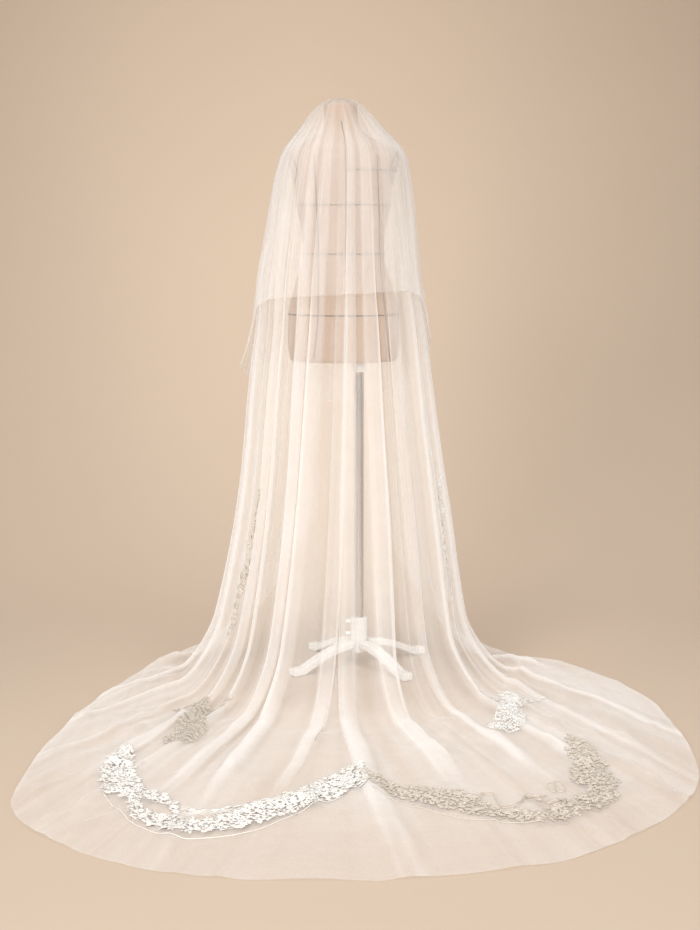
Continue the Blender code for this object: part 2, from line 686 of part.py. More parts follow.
def build_stand(materials, collection, parent):
    """Collar, steel pole, hub with two clamp bolts, and four arched arms."""
    enamel, steel = materials["white_enamel"], materials["steel"]
    round_bar("collar", COLLAR_RADIUS, COLLAR_BOTTOM, FORM_BOTTOM - SEAM_GAP, enamel, collection, parent, 0.003)
    round_bar("pole", POLE_RADIUS, POLE_BOTTOM, COLLAR_BOTTOM - SEAM_GAP, steel, collection, parent)
    round_bar("hub", HUB_RADIUS, HUB_BOTTOM, HUB_TOP - SEAM_GAP, enamel, collection, parent, 0.003)
    for index, height in enumerate(BOLT_HEIGHTS):
        mesh = bmesh.new()
        bmesh.ops.create_cone(
            mesh, cap_ends=True, segments=12, radius1=BOLT_RADIUS, radius2=BOLT_RADIUS * 0.85, depth=BOLT_LENGTH
        )
        x = POLE_X - HUB_RADIUS - SEAM_GAP - BOLT_LENGTH / 2.0
        bolt = add_object(f"hub_bolt_{index + 1}", mesh, enamel, collection, parent, (x, 0.0, height))
        bolt.rotation_euler = (0.0, -math.pi / 2.0, 0.0)
    arm = arm_mesh()
    arm.materials.append(enamel)
    for index in range(ARM_COUNT):
        turn = ARM_TURN + index * 2.0 * math.pi / ARM_COUNT
        obj = bpy.data.objects.new(f"arm_{index + 1}", arm)
        obj.location = (POLE_X, 0.0, 0.0)
        obj.rotation_euler = (0.0, 0.0, turn)
        obj.parent = parent
        collection.objects.link(obj)
        edge = obj.modifiers.new("edge", "BEVEL")
        edge.width = ARM_EDGE
        edge.segments = 2
        edge.limit_method = "ANGLE"


def arm_mesh():
    """One arm along +X from the hub's face: a box in steps, bent down to a foot flat on the floor."""
    mesh = bmesh.new()
    bmesh.ops.create_cube(mesh, size=1.0)
    long_edges = [e for e in mesh.edges if abs(e.verts[0].co.x - e.verts[1].co.x) > 0.5]
    bmesh.ops.subdivide_edges(mesh, edges=long_edges, cuts=ARM_CUTS, use_grid_fill=True)
    start = HUB_RADIUS + SEAM_GAP
    foot_share = ARM_CUTS / (ARM_CUTS + 1.0)
    for vert in mesh.verts:
        share = vert.co.x + 0.5
        bend = min(share / foot_share, 1.0) * math.pi / 2.0
        drop = (ARM_ROOT - ARM_DEPTH) * (1.0 - math.cos(bend))
        vert.co = Vector(
            (
                start + (ARM_REACH - start) * share,
                vert.co.y * ARM_WIDTH,
                ARM_ROOT - drop + (vert.co.z - 0.5) * ARM_DEPTH,
            )
        )
    data = bpy.data.meshes.new("arm")
    mesh.to_mesh(data)
    mesh.free()
    return data


def main():
    """Build every piece of the veil, its form and its stand."""
    clear_scene()
    materials = make_materials()
    collection = bpy.data.collections.new("veil_on_form")
    bpy.context.scene.collection.children.link(collection)
    frame = bpy.data.objects.new("frame", None)
    frame.location = (-FOOTPRINT_X, -FOOTPRINT_Y, 0.0)
    collection.objects.link(frame)
    build_form(materials, collection, frame)
    build_stand(materials, collection, frame)
    build_long_tier(materials, collection, frame)
    build_short_tier(materials, collection, frame)


main()
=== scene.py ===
"""Looks of the two-tier cathedral veil on its dress form and four-arm stand.

The two tulle tiers are worked out again on the same level rings, hems and folds as the solids, but with
fine columns and rows, so that each fold is a soft loop of thin cloth. The lace is laid out flat in real
sizes and dropped on the tulle. Every piece sits in the row frame, at the origin and unscaled.
"""

from __future__ import annotations

import json
import logging
import math
from dataclasses import dataclass, field
from enum import Enum

import bmesh
import bpy
import numpy as np
from mathutils import Euler, Matrix, Vector
from mathutils.bvhtree import BVHTree

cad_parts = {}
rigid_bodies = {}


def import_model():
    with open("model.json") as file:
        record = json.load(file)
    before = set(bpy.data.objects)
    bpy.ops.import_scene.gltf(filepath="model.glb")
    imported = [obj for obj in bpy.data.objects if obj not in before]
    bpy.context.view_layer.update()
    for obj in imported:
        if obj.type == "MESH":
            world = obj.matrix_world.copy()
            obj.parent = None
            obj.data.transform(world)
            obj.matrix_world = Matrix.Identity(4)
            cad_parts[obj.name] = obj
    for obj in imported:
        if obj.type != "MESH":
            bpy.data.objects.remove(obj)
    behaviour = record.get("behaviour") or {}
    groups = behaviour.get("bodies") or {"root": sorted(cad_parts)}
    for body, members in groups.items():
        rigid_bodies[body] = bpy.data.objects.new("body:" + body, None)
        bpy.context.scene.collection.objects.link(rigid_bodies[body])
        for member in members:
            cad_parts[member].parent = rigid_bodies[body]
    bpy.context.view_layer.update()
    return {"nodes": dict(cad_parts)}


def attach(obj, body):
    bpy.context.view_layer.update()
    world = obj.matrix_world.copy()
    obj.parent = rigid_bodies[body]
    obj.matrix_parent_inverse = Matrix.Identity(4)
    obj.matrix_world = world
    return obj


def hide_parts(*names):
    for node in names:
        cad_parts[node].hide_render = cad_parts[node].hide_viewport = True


Colour = tuple[float, float, float, float]

LOG = logging.getLogger("veil")
BODY = "root"
SHIFT = np.array([-0.0590, 0.8072, 0.0])

# Level rings of the long tier: height, centre, reach left, right, back and front, ridge at side and back
STATIONS = np.array(
    [
        (0.0, 0.0, 0.475, 0.45, 0.64, 0.214, 0.015, 0.022),
        (0.012, 0.0, 0.446, 0.42, 0.6, 0.211, 0.016, 0.023),
        (0.05, 0.0, 0.416, 0.392, 0.56, 0.208, 0.018, 0.025),
        (0.13, 0.0, 0.387, 0.363, 0.51, 0.205, 0.02, 0.026),
        (0.24, 0.0, 0.357, 0.341, 0.455, 0.2, 0.021, 0.027),
        (0.46, 0.0, 0.312, 0.309, 0.372, 0.19, 0.021, 0.027),
        (0.64, 0.0, 0.287, 0.281, 0.318, 0.18, 0.021, 0.026),
        (0.88, 0.0, 0.264, 0.249, 0.256, 0.17, 0.02, 0.024),
        (1.06, 0.0, 0.244, 0.229, 0.215, 0.162, 0.017, 0.021),
        (1.18, 0.0, 0.238, 0.212, 0.188, 0.158, 0.014, 0.018),
        (1.3, 0.0, 0.221, 0.205, 0.166, 0.154, 0.011, 0.015),
        (1.419, 0.0, 0.206, 0.198, 0.146, 0.148, 0.007, 0.012),
        (1.478, 0.0, 0.197, 0.192, 0.134, 0.13, 0.005, 0.01),
        (1.536, 0.0, 0.184, 0.184, 0.122, 0.114, 0.003, 0.008),
        (1.566, 0.0, 0.171, 0.171, 0.115, 0.104, 0.002, 0.007),
        (1.595, -0.002, 0.148, 0.148, 0.106, 0.094, 0.002, 0.006),
        (1.624, -0.004, 0.122, 0.122, 0.095, 0.084, 0.002, 0.005),
        (1.653, -0.006, 0.1, 0.1, 0.082, 0.074, 0.002, 0.004),
        (1.682, -0.009, 0.076, 0.076, 0.067, 0.063, 0.0016, 0.003),
        (1.7005, -0.0095, 0.052, 0.052, 0.051, 0.05, 0.0012, 0.002),
        (1.71, -0.0095, 0.03, 0.03, 0.03, 0.03, 0.001, 0.001),
    ]
)

# Hem of the long tier: angle, place and height of the hem, height at which the wall turns out
HEMS = np.array(
    [
        (-165.0, -0.085, 0.205, 0.43, 0.64), (-150.0, -0.168, 0.18, 0.3, 0.5), (-135.0, -0.275, 0.165, 0.13, 0.3),
        (-120.0, -0.43, 0.14, 0.02, 0.11), (-110.0, -0.53, 0.06, 0.0, 0.03), (-100.0, -0.605, -0.085, 0.0, 0.0),
        (-88.0, -0.712, -0.45, 0.0, 0.0), (-75.0, -0.757, -0.745, 0.0, 0.0), (-66.0, -0.785, -1.02, 0.0, 0.0),
        (-58.0, -0.785, -1.275, 0.0, 0.0), (-48.0, -0.722, -1.48, 0.0, 0.0), (-39.0, -0.632, -1.596, 0.0, 0.0),
        (-30.0, -0.5, -1.71, 0.0, 0.0), (-20.0, -0.37, -1.785, 0.0, 0.0), (-10.0, -0.21, -1.82, 0.0, 0.0),
        (0.0, 0.06, -1.828, 0.0, 0.0), (10.0, 0.285, -1.785, 0.0, 0.0), (20.0, 0.48, -1.71, 0.0, 0.0),
        (30.0, 0.59, -1.62, 0.0, 0.0), (39.0, 0.688, -1.515, 0.0, 0.0), (50.0, 0.765, -1.405, 0.0, 0.0),
        (60.0, 0.818, -1.315, 0.0, 0.0), (70.0, 0.86, -1.21, 0.0, 0.0), (78.0, 0.888, -1.08, 0.0, 0.0),
        (84.0, 0.904, -0.85, 0.0, 0.0), (90.0, 0.892, -0.56, 0.0, 0.0), (95.0, 0.812, -0.22, 0.0, 0.0),
        (101.0, 0.64, 0.035, 0.0, 0.0), (110.0, 0.5, 0.1, 0.0, 0.03), (120.0, 0.41, 0.14, 0.02, 0.11),
        (132.0, 0.285, 0.165, 0.12, 0.29), (144.0, 0.195, 0.18, 0.26, 0.46), (155.0, 0.128, 0.2, 0.4, 0.6),
    ]
)

# Lace band on the train: angle, inner and outer edge as shares of the way from bend to hem
BANDS = np.array(
    [
        (-165.0, 0.44, 0.62), (-62.0, 0.44, 0.62), (-50.0, 0.49, 0.64), (-43.0, 0.57, 0.71),
        (-33.0, 0.66, 0.78), (-24.0, 0.68, 0.8), (-15.0, 0.64, 0.76), (-8.0, 0.55, 0.66),
        (-3.0, 0.44, 0.55), (0.0, 0.39, 0.49), (2.0, 0.41, 0.5), (7.0, 0.51, 0.59),
        (13.0, 0.58, 0.67), (20.0, 0.64, 0.78), (26.0, 0.71, 0.83), (36.0, 0.71, 0.84),
        (43.0, 0.68, 0.82), (50.0, 0.6, 0.77), (56.0, 0.51, 0.69), (62.0, 0.44, 0.62),
        (155.0, 0.44, 0.62),
    ]
)

# Cords and loose leaves of the train lace, as points of the floor in the row frame
LEFT_EDGE = (
    (-0.626, -0.486), (-0.57, -0.608), (-0.508, -0.704), (-0.463, -0.75), (-0.409, -0.782),
    (-0.339, -0.77), (-0.263, -0.73), (-0.177, -0.629), (-0.11, -0.544), (-0.056, -0.478),
)
RIGHT_EDGE = ((0.015, -0.463), (0.078, -0.544), (0.146, -0.594), (0.213, -0.636), (0.301, -0.670), (0.391, -0.684))
WAVE = (
    (0.263, -0.501), (0.281, -0.456), (0.296, -0.448), (0.308, -0.501),
    (0.321, -0.551), (0.341, -0.559), (0.364, -0.515), (0.377, -0.478),
)
WAVE_LEAD = ((0.208, -0.478), (0.237, -0.471), (0.264, -0.486), (0.276, -0.523))
LOOSE_LEAVES = (
    (0.383, -0.488, 0.03, -55.0), (0.394, -0.505, 0.034, -20.0), (0.403, -0.53, 0.03, -65.0),
    (0.412, -0.512, 0.024, 10.0), (0.436, -0.556, 0.034, 30.0), (0.45, -0.538, 0.034, 55.0),
    (0.462, -0.518, 0.024, 40.0),
)

# Hem of the short tier: angle, height, and how far it stands off the long tier
SHORT_HEMS = np.array(
    [
        (-180.0, 0.79, 0.01), (-150.0, 0.81, 0.012), (-120.0, 0.865, 0.02), (-102.0, 0.895, 0.026),
        (-92.0, 0.925, 0.024), (-84.0, 1.01, 0.008), (-75.0, 1.1, 0.001), (-50.0, 1.128, 0.002),
        (0.0, 1.14, 0.003), (50.0, 1.15, 0.002), (75.0, 1.12, 0.001), (88.0, 1.02, 0.001),
        (104.0, 0.95, 0.006), (124.0, 0.87, 0.01), (150.0, 0.805, 0.01), (180.0, 0.79, 0.01),
    ]
)

# Sections of the dress form: height, centre, reach to the side, back and front
FORM_RINGS = np.array(
    [
        (0.94, 0.0, 0.156, 0.11, 0.1), (0.948, 0.0, 0.162, 0.116, 0.105),
        (1.0, 0.0, 0.168, 0.12, 0.106), (1.08, 0.0, 0.166, 0.118, 0.106),
        (1.16, 0.0, 0.148, 0.106, 0.1), (1.26, 0.0, 0.12, 0.085, 0.091),
        (1.33, 0.0, 0.126, 0.088, 0.104), (1.4, 0.0, 0.14, 0.095, 0.128),
        (1.47, 0.0, 0.148, 0.1, 0.112), (1.52, 0.0, 0.162, 0.097, 0.084),
        (1.548, 0.0, 0.166, 0.088, 0.068), (1.57, 0.0, 0.148, 0.078, 0.056),
        (1.592, -0.001, 0.108, 0.068, 0.052), (1.612, -0.003, 0.068, 0.059, 0.051),
        (1.64, -0.006, 0.052, 0.053, 0.05), (1.69, -0.0095, 0.049, 0.049, 0.049),
    ]
)

# Seams of the form: height, and how far out the centre, left and right seams lie
SEAMS = np.array(
    [
        (0.94, 0.006, -0.089, 0.138), (1.1, 0.006, -0.074, 0.122),
        (1.26, 0.007, -0.074, 0.108), (1.4, 0.007, -0.078, 0.104),
        (1.56, 0.006, -0.085, 0.1), (1.66, 0.0, -0.085, 0.1),
    ]
)


def hermite(
    start: np.ndarray, end: np.ndarray, leave: np.ndarray, arrive: np.ndarray, t: np.ndarray
) -> np.ndarray:
    """Blend smoothly from start to end, with the slopes it leaves and arrives with, at shares of the way."""
    rise = 3.0 * t**2 - 2.0 * t**3
    return start * (1.0 - rise) + end * rise + (leave * (t**3 - 2.0 * t**2 + t) + arrive * (t**3 - t**2))


def curve_through(table: np.ndarray, column: int, at: np.ndarray) -> np.ndarray:
    """Read a table's column along a smooth curve that never overshoots its rows.

    Args:
        table: Rows whose first column is the rising key.
        column: The column to read.
        at: Keys to read at.

    Returns:
        The values at those keys.
    """
    keys, values = table[:, 0], table[:, column]
    steps = np.diff(values) / np.diff(keys)
    slopes = np.empty(len(keys))
    slopes[0], slopes[-1] = steps[0], steps[-1]
    before, after = steps[:-1], steps[1:]
    total = before + after
    flat = before * after <= 0.0
    slopes[1:-1] = np.where(flat, 0.0, 2.0 * before * after / np.where(flat, 1.0, total))
    at = np.asarray(at, float)
    i = np.clip(np.searchsorted(keys, at, side="right") - 1, 0, len(keys) - 2)
    span = keys[i + 1] - keys[i]
    t = np.clip((at - keys[i]) / span, 0.0, 1.0)
    return hermite(values[i], values[i + 1], span * slopes[i], span * slopes[i + 1], t)


def unit(vectors: np.ndarray) -> np.ndarray:
    """Scale vectors along the last axis to length one."""
    return vectors / np.maximum(np.linalg.norm(vectors, axis=-1, keepdims=True), 1e-12)


def run_along(points: np.ndarray) -> np.ndarray:
    """Length run so far at each point of a path."""
    return np.concatenate([[0.0], np.cumsum(np.linalg.norm(np.diff(points, axis=0), axis=1))])


def times(colour: Colour, factor: float) -> Colour:
    """Lighten or darken a colour, held at white."""
    return tuple(min(c * factor, 1.0) for c in colour[:3]) + (1.0,)


class Slot(Enum):
    """Material slots of the record."""

    TULLE = "tulle"
    SILVER_WHITE = "silver_white_lace"
    # The champagne lace is the silver-white lace darkened and yellowed: painted shade
    PAINTED_SHADE_LACE = "champagne_lace"
    FORM = "form_cloth"
    STEEL = "steel"
    ENAMEL = "white_enamel"


@dataclass(frozen=True)
class Fold:
    """A main fold, given one by one.

    Args:
        top: Angle at the crown, in degrees.
        floor: Angle where the cloth meets the floor.
        hem: Angle at the hem.
        half: Half of its width, in metres.
        height: Share of the full ridge height.
        loop: How far its sides close in below the crest.
        lean: How far it falls to one side, as a share of its height.
        fade: Share of the train at which it has died away.
        white_top: How much cloth is gathered in it at the crown.
        white_low: How much cloth is gathered in it at the floor.
    """

    top: float
    floor: float
    hem: float
    half: float
    height: float
    loop: float = 1.6
    lean: float = 0.0
    fade: float = 1.0
    white_top: float = 0.35
    white_low: float = 0.35


class NodeKit:
    """Short ways to add and link shader nodes in one material."""

    def __init__(self, name: str) -> None:
        """Start a material of that name with only its output."""
        self.material = bpy.data.materials.new(name)
        self.material.use_nodes = True
        self.tree = self.material.node_tree
        self.tree.nodes.clear()
        self.output = self.tree.nodes.new("ShaderNodeOutputMaterial")

    def add(self, kind: str, **values: object) -> bpy.types.Node:
        """Add a node, set its own properties and the sockets named by index.

        Args:
            kind: Node type.
            **values: Property names, or in_0, in_1 and so on for input sockets.

        Returns:
            The new node.
        """
        node = self.tree.nodes.new(kind)
        for key, value in values.items():
            if not key.startswith("in_"):
                setattr(node, key, value)
        for key, value in values.items():
            if key.startswith("in_"):
                self.feed(node.inputs[int(key[3:])], value)
        return node

    def feed(self, socket: bpy.types.NodeSocket, value: object) -> None:
        """Join a socket to another one, or set its constant."""
        if isinstance(value, bpy.types.NodeSocket):
            self.tree.links.new(value, socket)
        else:
            socket.default_value = value

    def math(self, operation: str, first: object, second: object = 0.0) -> bpy.types.NodeSocket:
        """Add a Math node and give its result."""
        return self.add("ShaderNodeMath", operation=operation, in_0=first, in_1=second).outputs[0]

    def fit(
        self, value: bpy.types.NodeSocket, start: tuple[float, float], end: tuple[float, float]
    ) -> bpy.types.NodeSocket:
        """Carry a value from one range over to another, held at both ends."""
        return self.add(
            "ShaderNodeMapRange", in_0=value, in_1=start[0], in_2=start[1], in_3=end[0], in_4=end[1]
        ).outputs[0]

    def blend(self, share: bpy.types.NodeSocket, first: Colour, second: Colour) -> bpy.types.NodeSocket:
        """Mix two colours and give the result."""
        return self.add("ShaderNodeMix", data_type="RGBA", in_0=share, in_6=first, in_7=second).outputs[2]

    def bump(self, height: bpy.types.NodeSocket, strength: float, distance: float) -> bpy.types.NodeSocket:
        """Turn a height into a normal."""
        node = self.add("ShaderNodeBump", in_0=strength, in_1=distance)
        self.feed(node.inputs["Height"], height)
        return node.outputs[0]

    def body(self, **values: object) -> bpy.types.NodeSocket:
        """Add a Principled shader, its sockets named in small letters with underscores."""
        node = self.add("ShaderNodeBsdfPrincipled")
        for key, value in values.items():
            self.feed(node.inputs[key.replace("_", " ").title()], value)
        return node.outputs[0]

    def finish(self, surface: bpy.types.NodeSocket) -> bpy.types.Material:
        """Join the surface to the output and give the material."""
        self.feed(self.output.inputs["Surface"], surface)
        return self.material


@dataclass(frozen=True)
class TulleFinish:
    """Fine ivory net: see-through straight on, denser along its folds, with a soft sheen."""

    name: str = "tulle"
    colour: Colour = (0.97, 0.948, 0.928, 1.0)
    face_on: float = 0.27
    edge_on: float = 0.88
    power: float = 1.8
    most: float = 0.97
    glow: float = 0.30
    net_scale: float = 420.0
    cloud_scale: float = 9.0

    def make(self) -> bpy.types.Material:
        """Build the material."""
        kit = NodeKit(self.name)
        uv = kit.add("ShaderNodeUVMap", uv_map="cloth").outputs[0]
        net = kit.add("ShaderNodeTexVoronoi", feature="DISTANCE_TO_EDGE", in_0=uv, in_2=self.net_scale)
        thread = kit.fit(net.outputs["Distance"], (0.0, 0.35), (1.16, 0.90))
        patchy = kit.add("ShaderNodeTexNoise", in_0=uv, in_2=self.cloud_scale, in_3=3.0)
        cloud = kit.fit(patchy.outputs[0], (0.3, 0.7), (0.94, 1.06))
        gather = kit.add("ShaderNodeAttribute", attribute_name="gather")
        relief = self.wrinkles(kit, uv)
        weight = kit.add("ShaderNodeLayerWeight", in_0=0.5, in_1=relief)
        steep = kit.math("POWER", weight.outputs["Facing"], self.power)
        span = kit.math("MULTIPLY", steep, self.edge_on - self.face_on)
        base = kit.math("ADD", span, self.face_on)
        dense = kit.math("MULTIPLY", base, gather.outputs["Fac"])
        woven = kit.math("MULTIPLY", dense, thread)
        opacity = kit.math("MULTIPLY", woven, cloud)
        opacity = kit.add("ShaderNodeClamp", in_0=opacity, in_1=0.0, in_2=self.most).outputs[0]
        body = kit.body(
            base_color=self.colour, roughness=0.55, sheen_weight=0.25, sheen_roughness=0.35, normal=relief
        )
        glow = kit.add("ShaderNodeBsdfTranslucent", in_0=self.colour)
        cloth = kit.add("ShaderNodeMixShader", in_0=self.glow, in_1=body, in_2=glow.outputs[0])
        clear = kit.add("ShaderNodeBsdfTransparent")
        seen = kit.add("ShaderNodeMixShader", in_0=opacity, in_1=clear.outputs[0], in_2=cloth.outputs[0])
        return kit.finish(seen.outputs[0])

    def wrinkles(self, kit: NodeKit, uv: bpy.types.NodeSocket) -> bpy.types.NodeSocket:
        """Fine uneven wrinkles that run with the cloth, as a bumped normal."""
        bands = kit.add("ShaderNodeTexWave", bands_direction="X", in_0=uv, in_1=2.6, in_2=7.0, in_3=2.0, in_4=0.55)
        crest = kit.math("POWER", bands.outputs["Fac"], 7.0)
        spots = kit.add("ShaderNodeTexNoise", in_0=uv, in_2=3.1, in_3=2.0)
        lines = kit.math("MULTIPLY", crest, kit.fit(spots.outputs[0], (0.47, 0.62), (0.0, 1.0)))
        soft = kit.add("ShaderNodeTexNoise", in_0=uv, in_2=14.0, in_3=3.0)
        height = kit.math("ADD", lines, kit.math("MULTIPLY", soft.outputs[0], 0.35))
        return kit.bump(height, 0.55, 0.006)


@dataclass(frozen=True)
class WovenFinish:
    """Closely woven cloth of the dress form."""

    name: str = "form_cloth"
    weave_scale: float = 520.0
    colour: Colour = (0.51, 0.358, 0.25, 1.0)
    slub: Colour = (0.46, 0.320, 0.225, 1.0)

    def make(self) -> bpy.types.Material:
        """Build the material."""
        kit = NodeKit(self.name)
        place = kit.add("ShaderNodeTexCoord").outputs["Object"]
        warp, weft = (
            kit.add("ShaderNodeTexWave", bands_direction=way, in_0=place, in_1=self.weave_scale, in_2=0.6)
            for way in "XZ"
        )
        weave = kit.math("MULTIPLY", warp.outputs["Fac"], weft.outputs["Fac"])
        slubs = kit.add("ShaderNodeTexNoise", in_0=place, in_2=60.0, in_3=4.0)
        colour = kit.blend(slubs.outputs[0], self.colour, self.slub)
        bump = kit.bump(weave, 0.25, 0.0006)
        return kit.finish(kit.body(base_color=colour, normal=bump, roughness=0.88, sheen_weight=0.15))


@dataclass(frozen=True)
class PlainFinish:
    """Enamel, steel, tape or lace thread: one body colour with its own fine variation."""

    name: str
    colour: Colour
    roughness: float
    metallic: float = 0.0
    coat: float = 0.0
    grain: float = 90.0
    vary: float = 0.06
    relief: float = 0.0002
    stretch: tuple[float, float, float] = (1.0, 1.0, 1.0)

    def make(self) -> bpy.types.Material:
        """Build the material."""
        kit = NodeKit(self.name)
        place = kit.add("ShaderNodeTexCoord").outputs["Object"]
        mapped = kit.add("ShaderNodeMapping", in_0=place, in_3=self.stretch).outputs[0]
        noise = kit.add("ShaderNodeTexNoise", in_0=mapped, in_2=self.grain, in_3=3.0)
        dark, light = (times(self.colour, 1.0 + sign * self.vary) for sign in (-1.0, 1.0))
        spread = (self.roughness * 0.85, min(self.roughness * 1.15, 1.0))
        body = kit.body(
            base_color=kit.blend(noise.outputs[0], dark, light),
            roughness=kit.fit(noise.outputs[0], (0.3, 0.7), spread),
            normal=kit.bump(noise.outputs[0], 0.3, self.relief),
            metallic=self.metallic,
            coat_weight=self.coat,
        )
        return kit.finish(body)


def to_object(
    name: str, mesh: bmesh.types.BMesh, material: bpy.types.Material
) -> bpy.types.Object:
    """Finish a mesh as a smooth-shaded object of the part.

    Args:
        name: Name of the piece.
        mesh: The bmesh, which is freed.
        material: Its finish.

    Returns:
        The object, riding on the part's one body.
    """
    data = bpy.data.meshes.new(name)
    mesh.to_mesh(data)
    mesh.free()
    data.materials.append(material)
    data.shade_smooth()
    obj = bpy.data.objects.new(name, data)
    bpy.context.scene.collection.objects.link(obj)
    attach(obj, BODY)
    LOG.info("%s: %d vertices, %d faces", name, len(data.vertices), len(data.polygons))
    return obj


def cloth_grid(points: np.ndarray, cloth: np.ndarray, density: np.ndarray, closed: bool) -> bmesh.types.BMesh:
    """Make a sheet: a grid whose vertices are moved to their places.

    Args:
        points: Rows by columns by 3, in the row frame.
        cloth: Rows by columns by 2, the place of each point on the flat cloth, in metres.
        density: Rows by columns, how dense the net lies there.
        closed: Whether the last column meets the first.

    Returns:
        The sheet, with its UV map and the gather attribute.
    """
    down, across = points.shape[:2]
    mesh = bmesh.new()
    bmesh.ops.create_grid(mesh, x_segments=across - 1, y_segments=down - 1, size=1.0)
    uv = mesh.loops.layers.uv.new("cloth")
    gather = mesh.verts.layers.float.new("gather")
    column_of = {}
    row_of = {}
    for vert in mesh.verts:
        column = round((vert.co.x + 1.0) / 2.0 * (across - 1))
        row = round((1.0 - vert.co.y) / 2.0 * (down - 1))
        column_of[vert], row_of[vert] = column, row
        vert.co = points[row, column]
        vert[gather] = density[row, column]
    for face in mesh.faces:
        for loop in face.loops:
            loop[uv].uv = cloth[row_of[loop.vert], column_of[loop.vert]]
    if closed:
        bmesh.ops.remove_doubles(mesh, verts=mesh.verts[:], dist=1e-6)
    mesh.normal_update()
    return mesh


@dataclass
class Drape:
    """Wall of cloth round the pole: what both tiers share."""

    folds: tuple[Fold, ...] = ()
    between: int = 18
    crowd: float = 0.50
    seed: int = 7
    creases: int = 60
    material: bpy.types.Material | None = None
    crown_from: float = 1.58
    crown_over: float = 0.10
    cut_width: float = 3.0

    def crown(self, points: np.ndarray) -> np.ndarray:
        """Share of the way up into the crown of each point."""
        return np.clip((points[..., 2] - self.crown_from) / self.crown_over, 0.0, 1.0)

    def flat_cloth(self, points: np.ndarray, column: int) -> np.ndarray:
        """Place of each point on the flat cloth, its length measured down one column."""
        run = run_along(points[:, column])
        across = np.linspace(0.0, self.cut_width, points.shape[1])
        return np.stack(np.broadcast_arrays(across[None, :], run[:, None]), axis=-1)

    def ring(self, phi: np.ndarray, z: np.ndarray) -> np.ndarray:
        """Points of the plain wall at angles in degrees and heights."""
        turn = np.radians(phi)
        half = np.where(phi < 0.0, curve_through(STATIONS, 2, z), curve_through(STATIONS, 3, z))
        depth = np.where(np.cos(turn) > 0.0, curve_through(STATIONS, 4, z), curve_through(STATIONS, 5, z))
        x = curve_through(STATIONS, 1, z) + half * np.sin(turn)
        return np.stack([x, -depth * np.cos(turn), z + 0.0 * x], axis=-1)

    def ridge(self, phi: np.ndarray, z: np.ndarray) -> np.ndarray:
        """Height of a full ridge: tallest at the back, least at the sides."""
        facing = np.maximum(np.cos(np.radians(phi)), 0.0) ** 2
        side = curve_through(STATIONS, 6, z)
        return side + (curve_through(STATIONS, 7, z) - side) * facing

    def columns(self, centres: np.ndarray) -> np.ndarray:
        """Angles of every column of each row, crowded near the fold lines.

        Args:
            centres: Rows by fold lines, with the two ends, in degrees.

        Returns:
            Rows by columns.
        """
        t = np.arange(self.between) / self.between
        t = t - self.crowd / (2.0 * math.pi) * np.sin(2.0 * math.pi * t)
        parts = [centres[:, k, None] * (1.0 - t) + centres[:, k + 1, None] * t for k in range(centres.shape[1] - 1)]
        return np.concatenate(parts + [centres[:, -1:]], axis=1)

    def raise_folds(
        self,
        plain: np.ndarray,
        fold_columns: list[int],
        full: np.ndarray,
        train: np.ndarray,
        fall: np.ndarray,
        wrap: float,
    ) -> tuple[np.ndarray, np.ndarray]:
        """Raise every main fold as a loop of cloth.

        Args:
            plain: Rows by columns by 3, the plain wall.
            fold_columns: Column of each main fold.
            full: Height of a full ridge at each point.
            train: Share of the way over the floor of each point, 0 on the wall.
            fall: Share of the way from crown to floor of each row.
            wrap: 1.0 where the last column meets the first, otherwise 0.0.

        Returns:
            The folded wall, and how much cloth is gathered at each point.
        """
        around = np.gradient(plain, axis=1)
        down = np.gradient(plain, axis=0)
        normal = unit(np.cross(down, around))
        tangent = unit(around)
        steps = np.linalg.norm(np.diff(plain, axis=1), axis=2)
        along = np.concatenate([np.zeros((len(plain), 1)), np.cumsum(steps, axis=1)], axis=1)
        whole = along[:, -1:]
        out = np.zeros(plain.shape[:2])
        side = np.zeros(plain.shape[:2])
        dense = np.zeros(plain.shape[:2])
        lines = [along[:, c : c + 1] for c in fold_columns]
        for k, fold in enumerate(self.folds):
            before = lines[k] - (lines[k - 1] if k else (lines[-1] - whole if wrap else along[:, :1]))
            last = k == len(self.folds) - 1
            after = ((lines[0] + whole if wrap else along[:, -1:]) if last else lines[k + 1]) - lines[k]
            wide = fold.half * (1.15 + 1.1 * train[:, :1])
            half = np.minimum(wide, 0.46 * np.minimum(before, after))
            away = along - lines[k]
            if wrap:
                away = (away + whole / 2.0) % whole - whole / 2.0
            t = away / half
            life = np.clip((fold.fade - train) / 0.25, 0.0, 1.0) ** 1.5 if fold.fade < 1.0 else 1.0
            height = fold.height * full * life * (half / wide) ** 0.35
            shape = np.exp(-1.45 * t**2)
            out += height * shape
            side += half * fold.loop * t * np.exp(-((t / 0.55) ** 2)) * np.clip(height / half, 0.0, 1.0)
            side += fold.lean * height * shape
            white = (fold.white_top + (fold.white_low - fold.white_top) * fall)[:, None]
            dense = np.maximum(dense, white * life * np.exp(-((t / 0.85) ** 4)))
        return plain + normal * out[..., None] + tangent * side[..., None], dense

    def streaks(self, down: int, across: int) -> np.ndarray:
        """Soft lines of closer and more open net that run down the cloth.

        Args:
            down: Number of rows.
            across: Number of columns.

        Returns:
            A factor on the net's density at each point.
        """
        rng = np.random.default_rng(self.seed + 2)
        out = np.ones((down, across))
        for wide, strong, keys in ((1.3, 0.07, 5), (3.2, 0.11, 6), (9.0, 0.10, 7)):
            coarse = rng.normal(size=(keys, int(across / wide) + 2))
            columns = np.linspace(0.0, coarse.shape[1] - 1.0, across)
            lines = np.array([np.interp(columns, np.arange(coarse.shape[1]), row) for row in coarse])
            rows = np.linspace(0.0, keys - 1.0, down)
            out += strong * np.array([np.interp(rows, np.arange(keys), lines[:, c]) for c in range(across)]).T
        return np.clip(out, 0.62, 1.5)

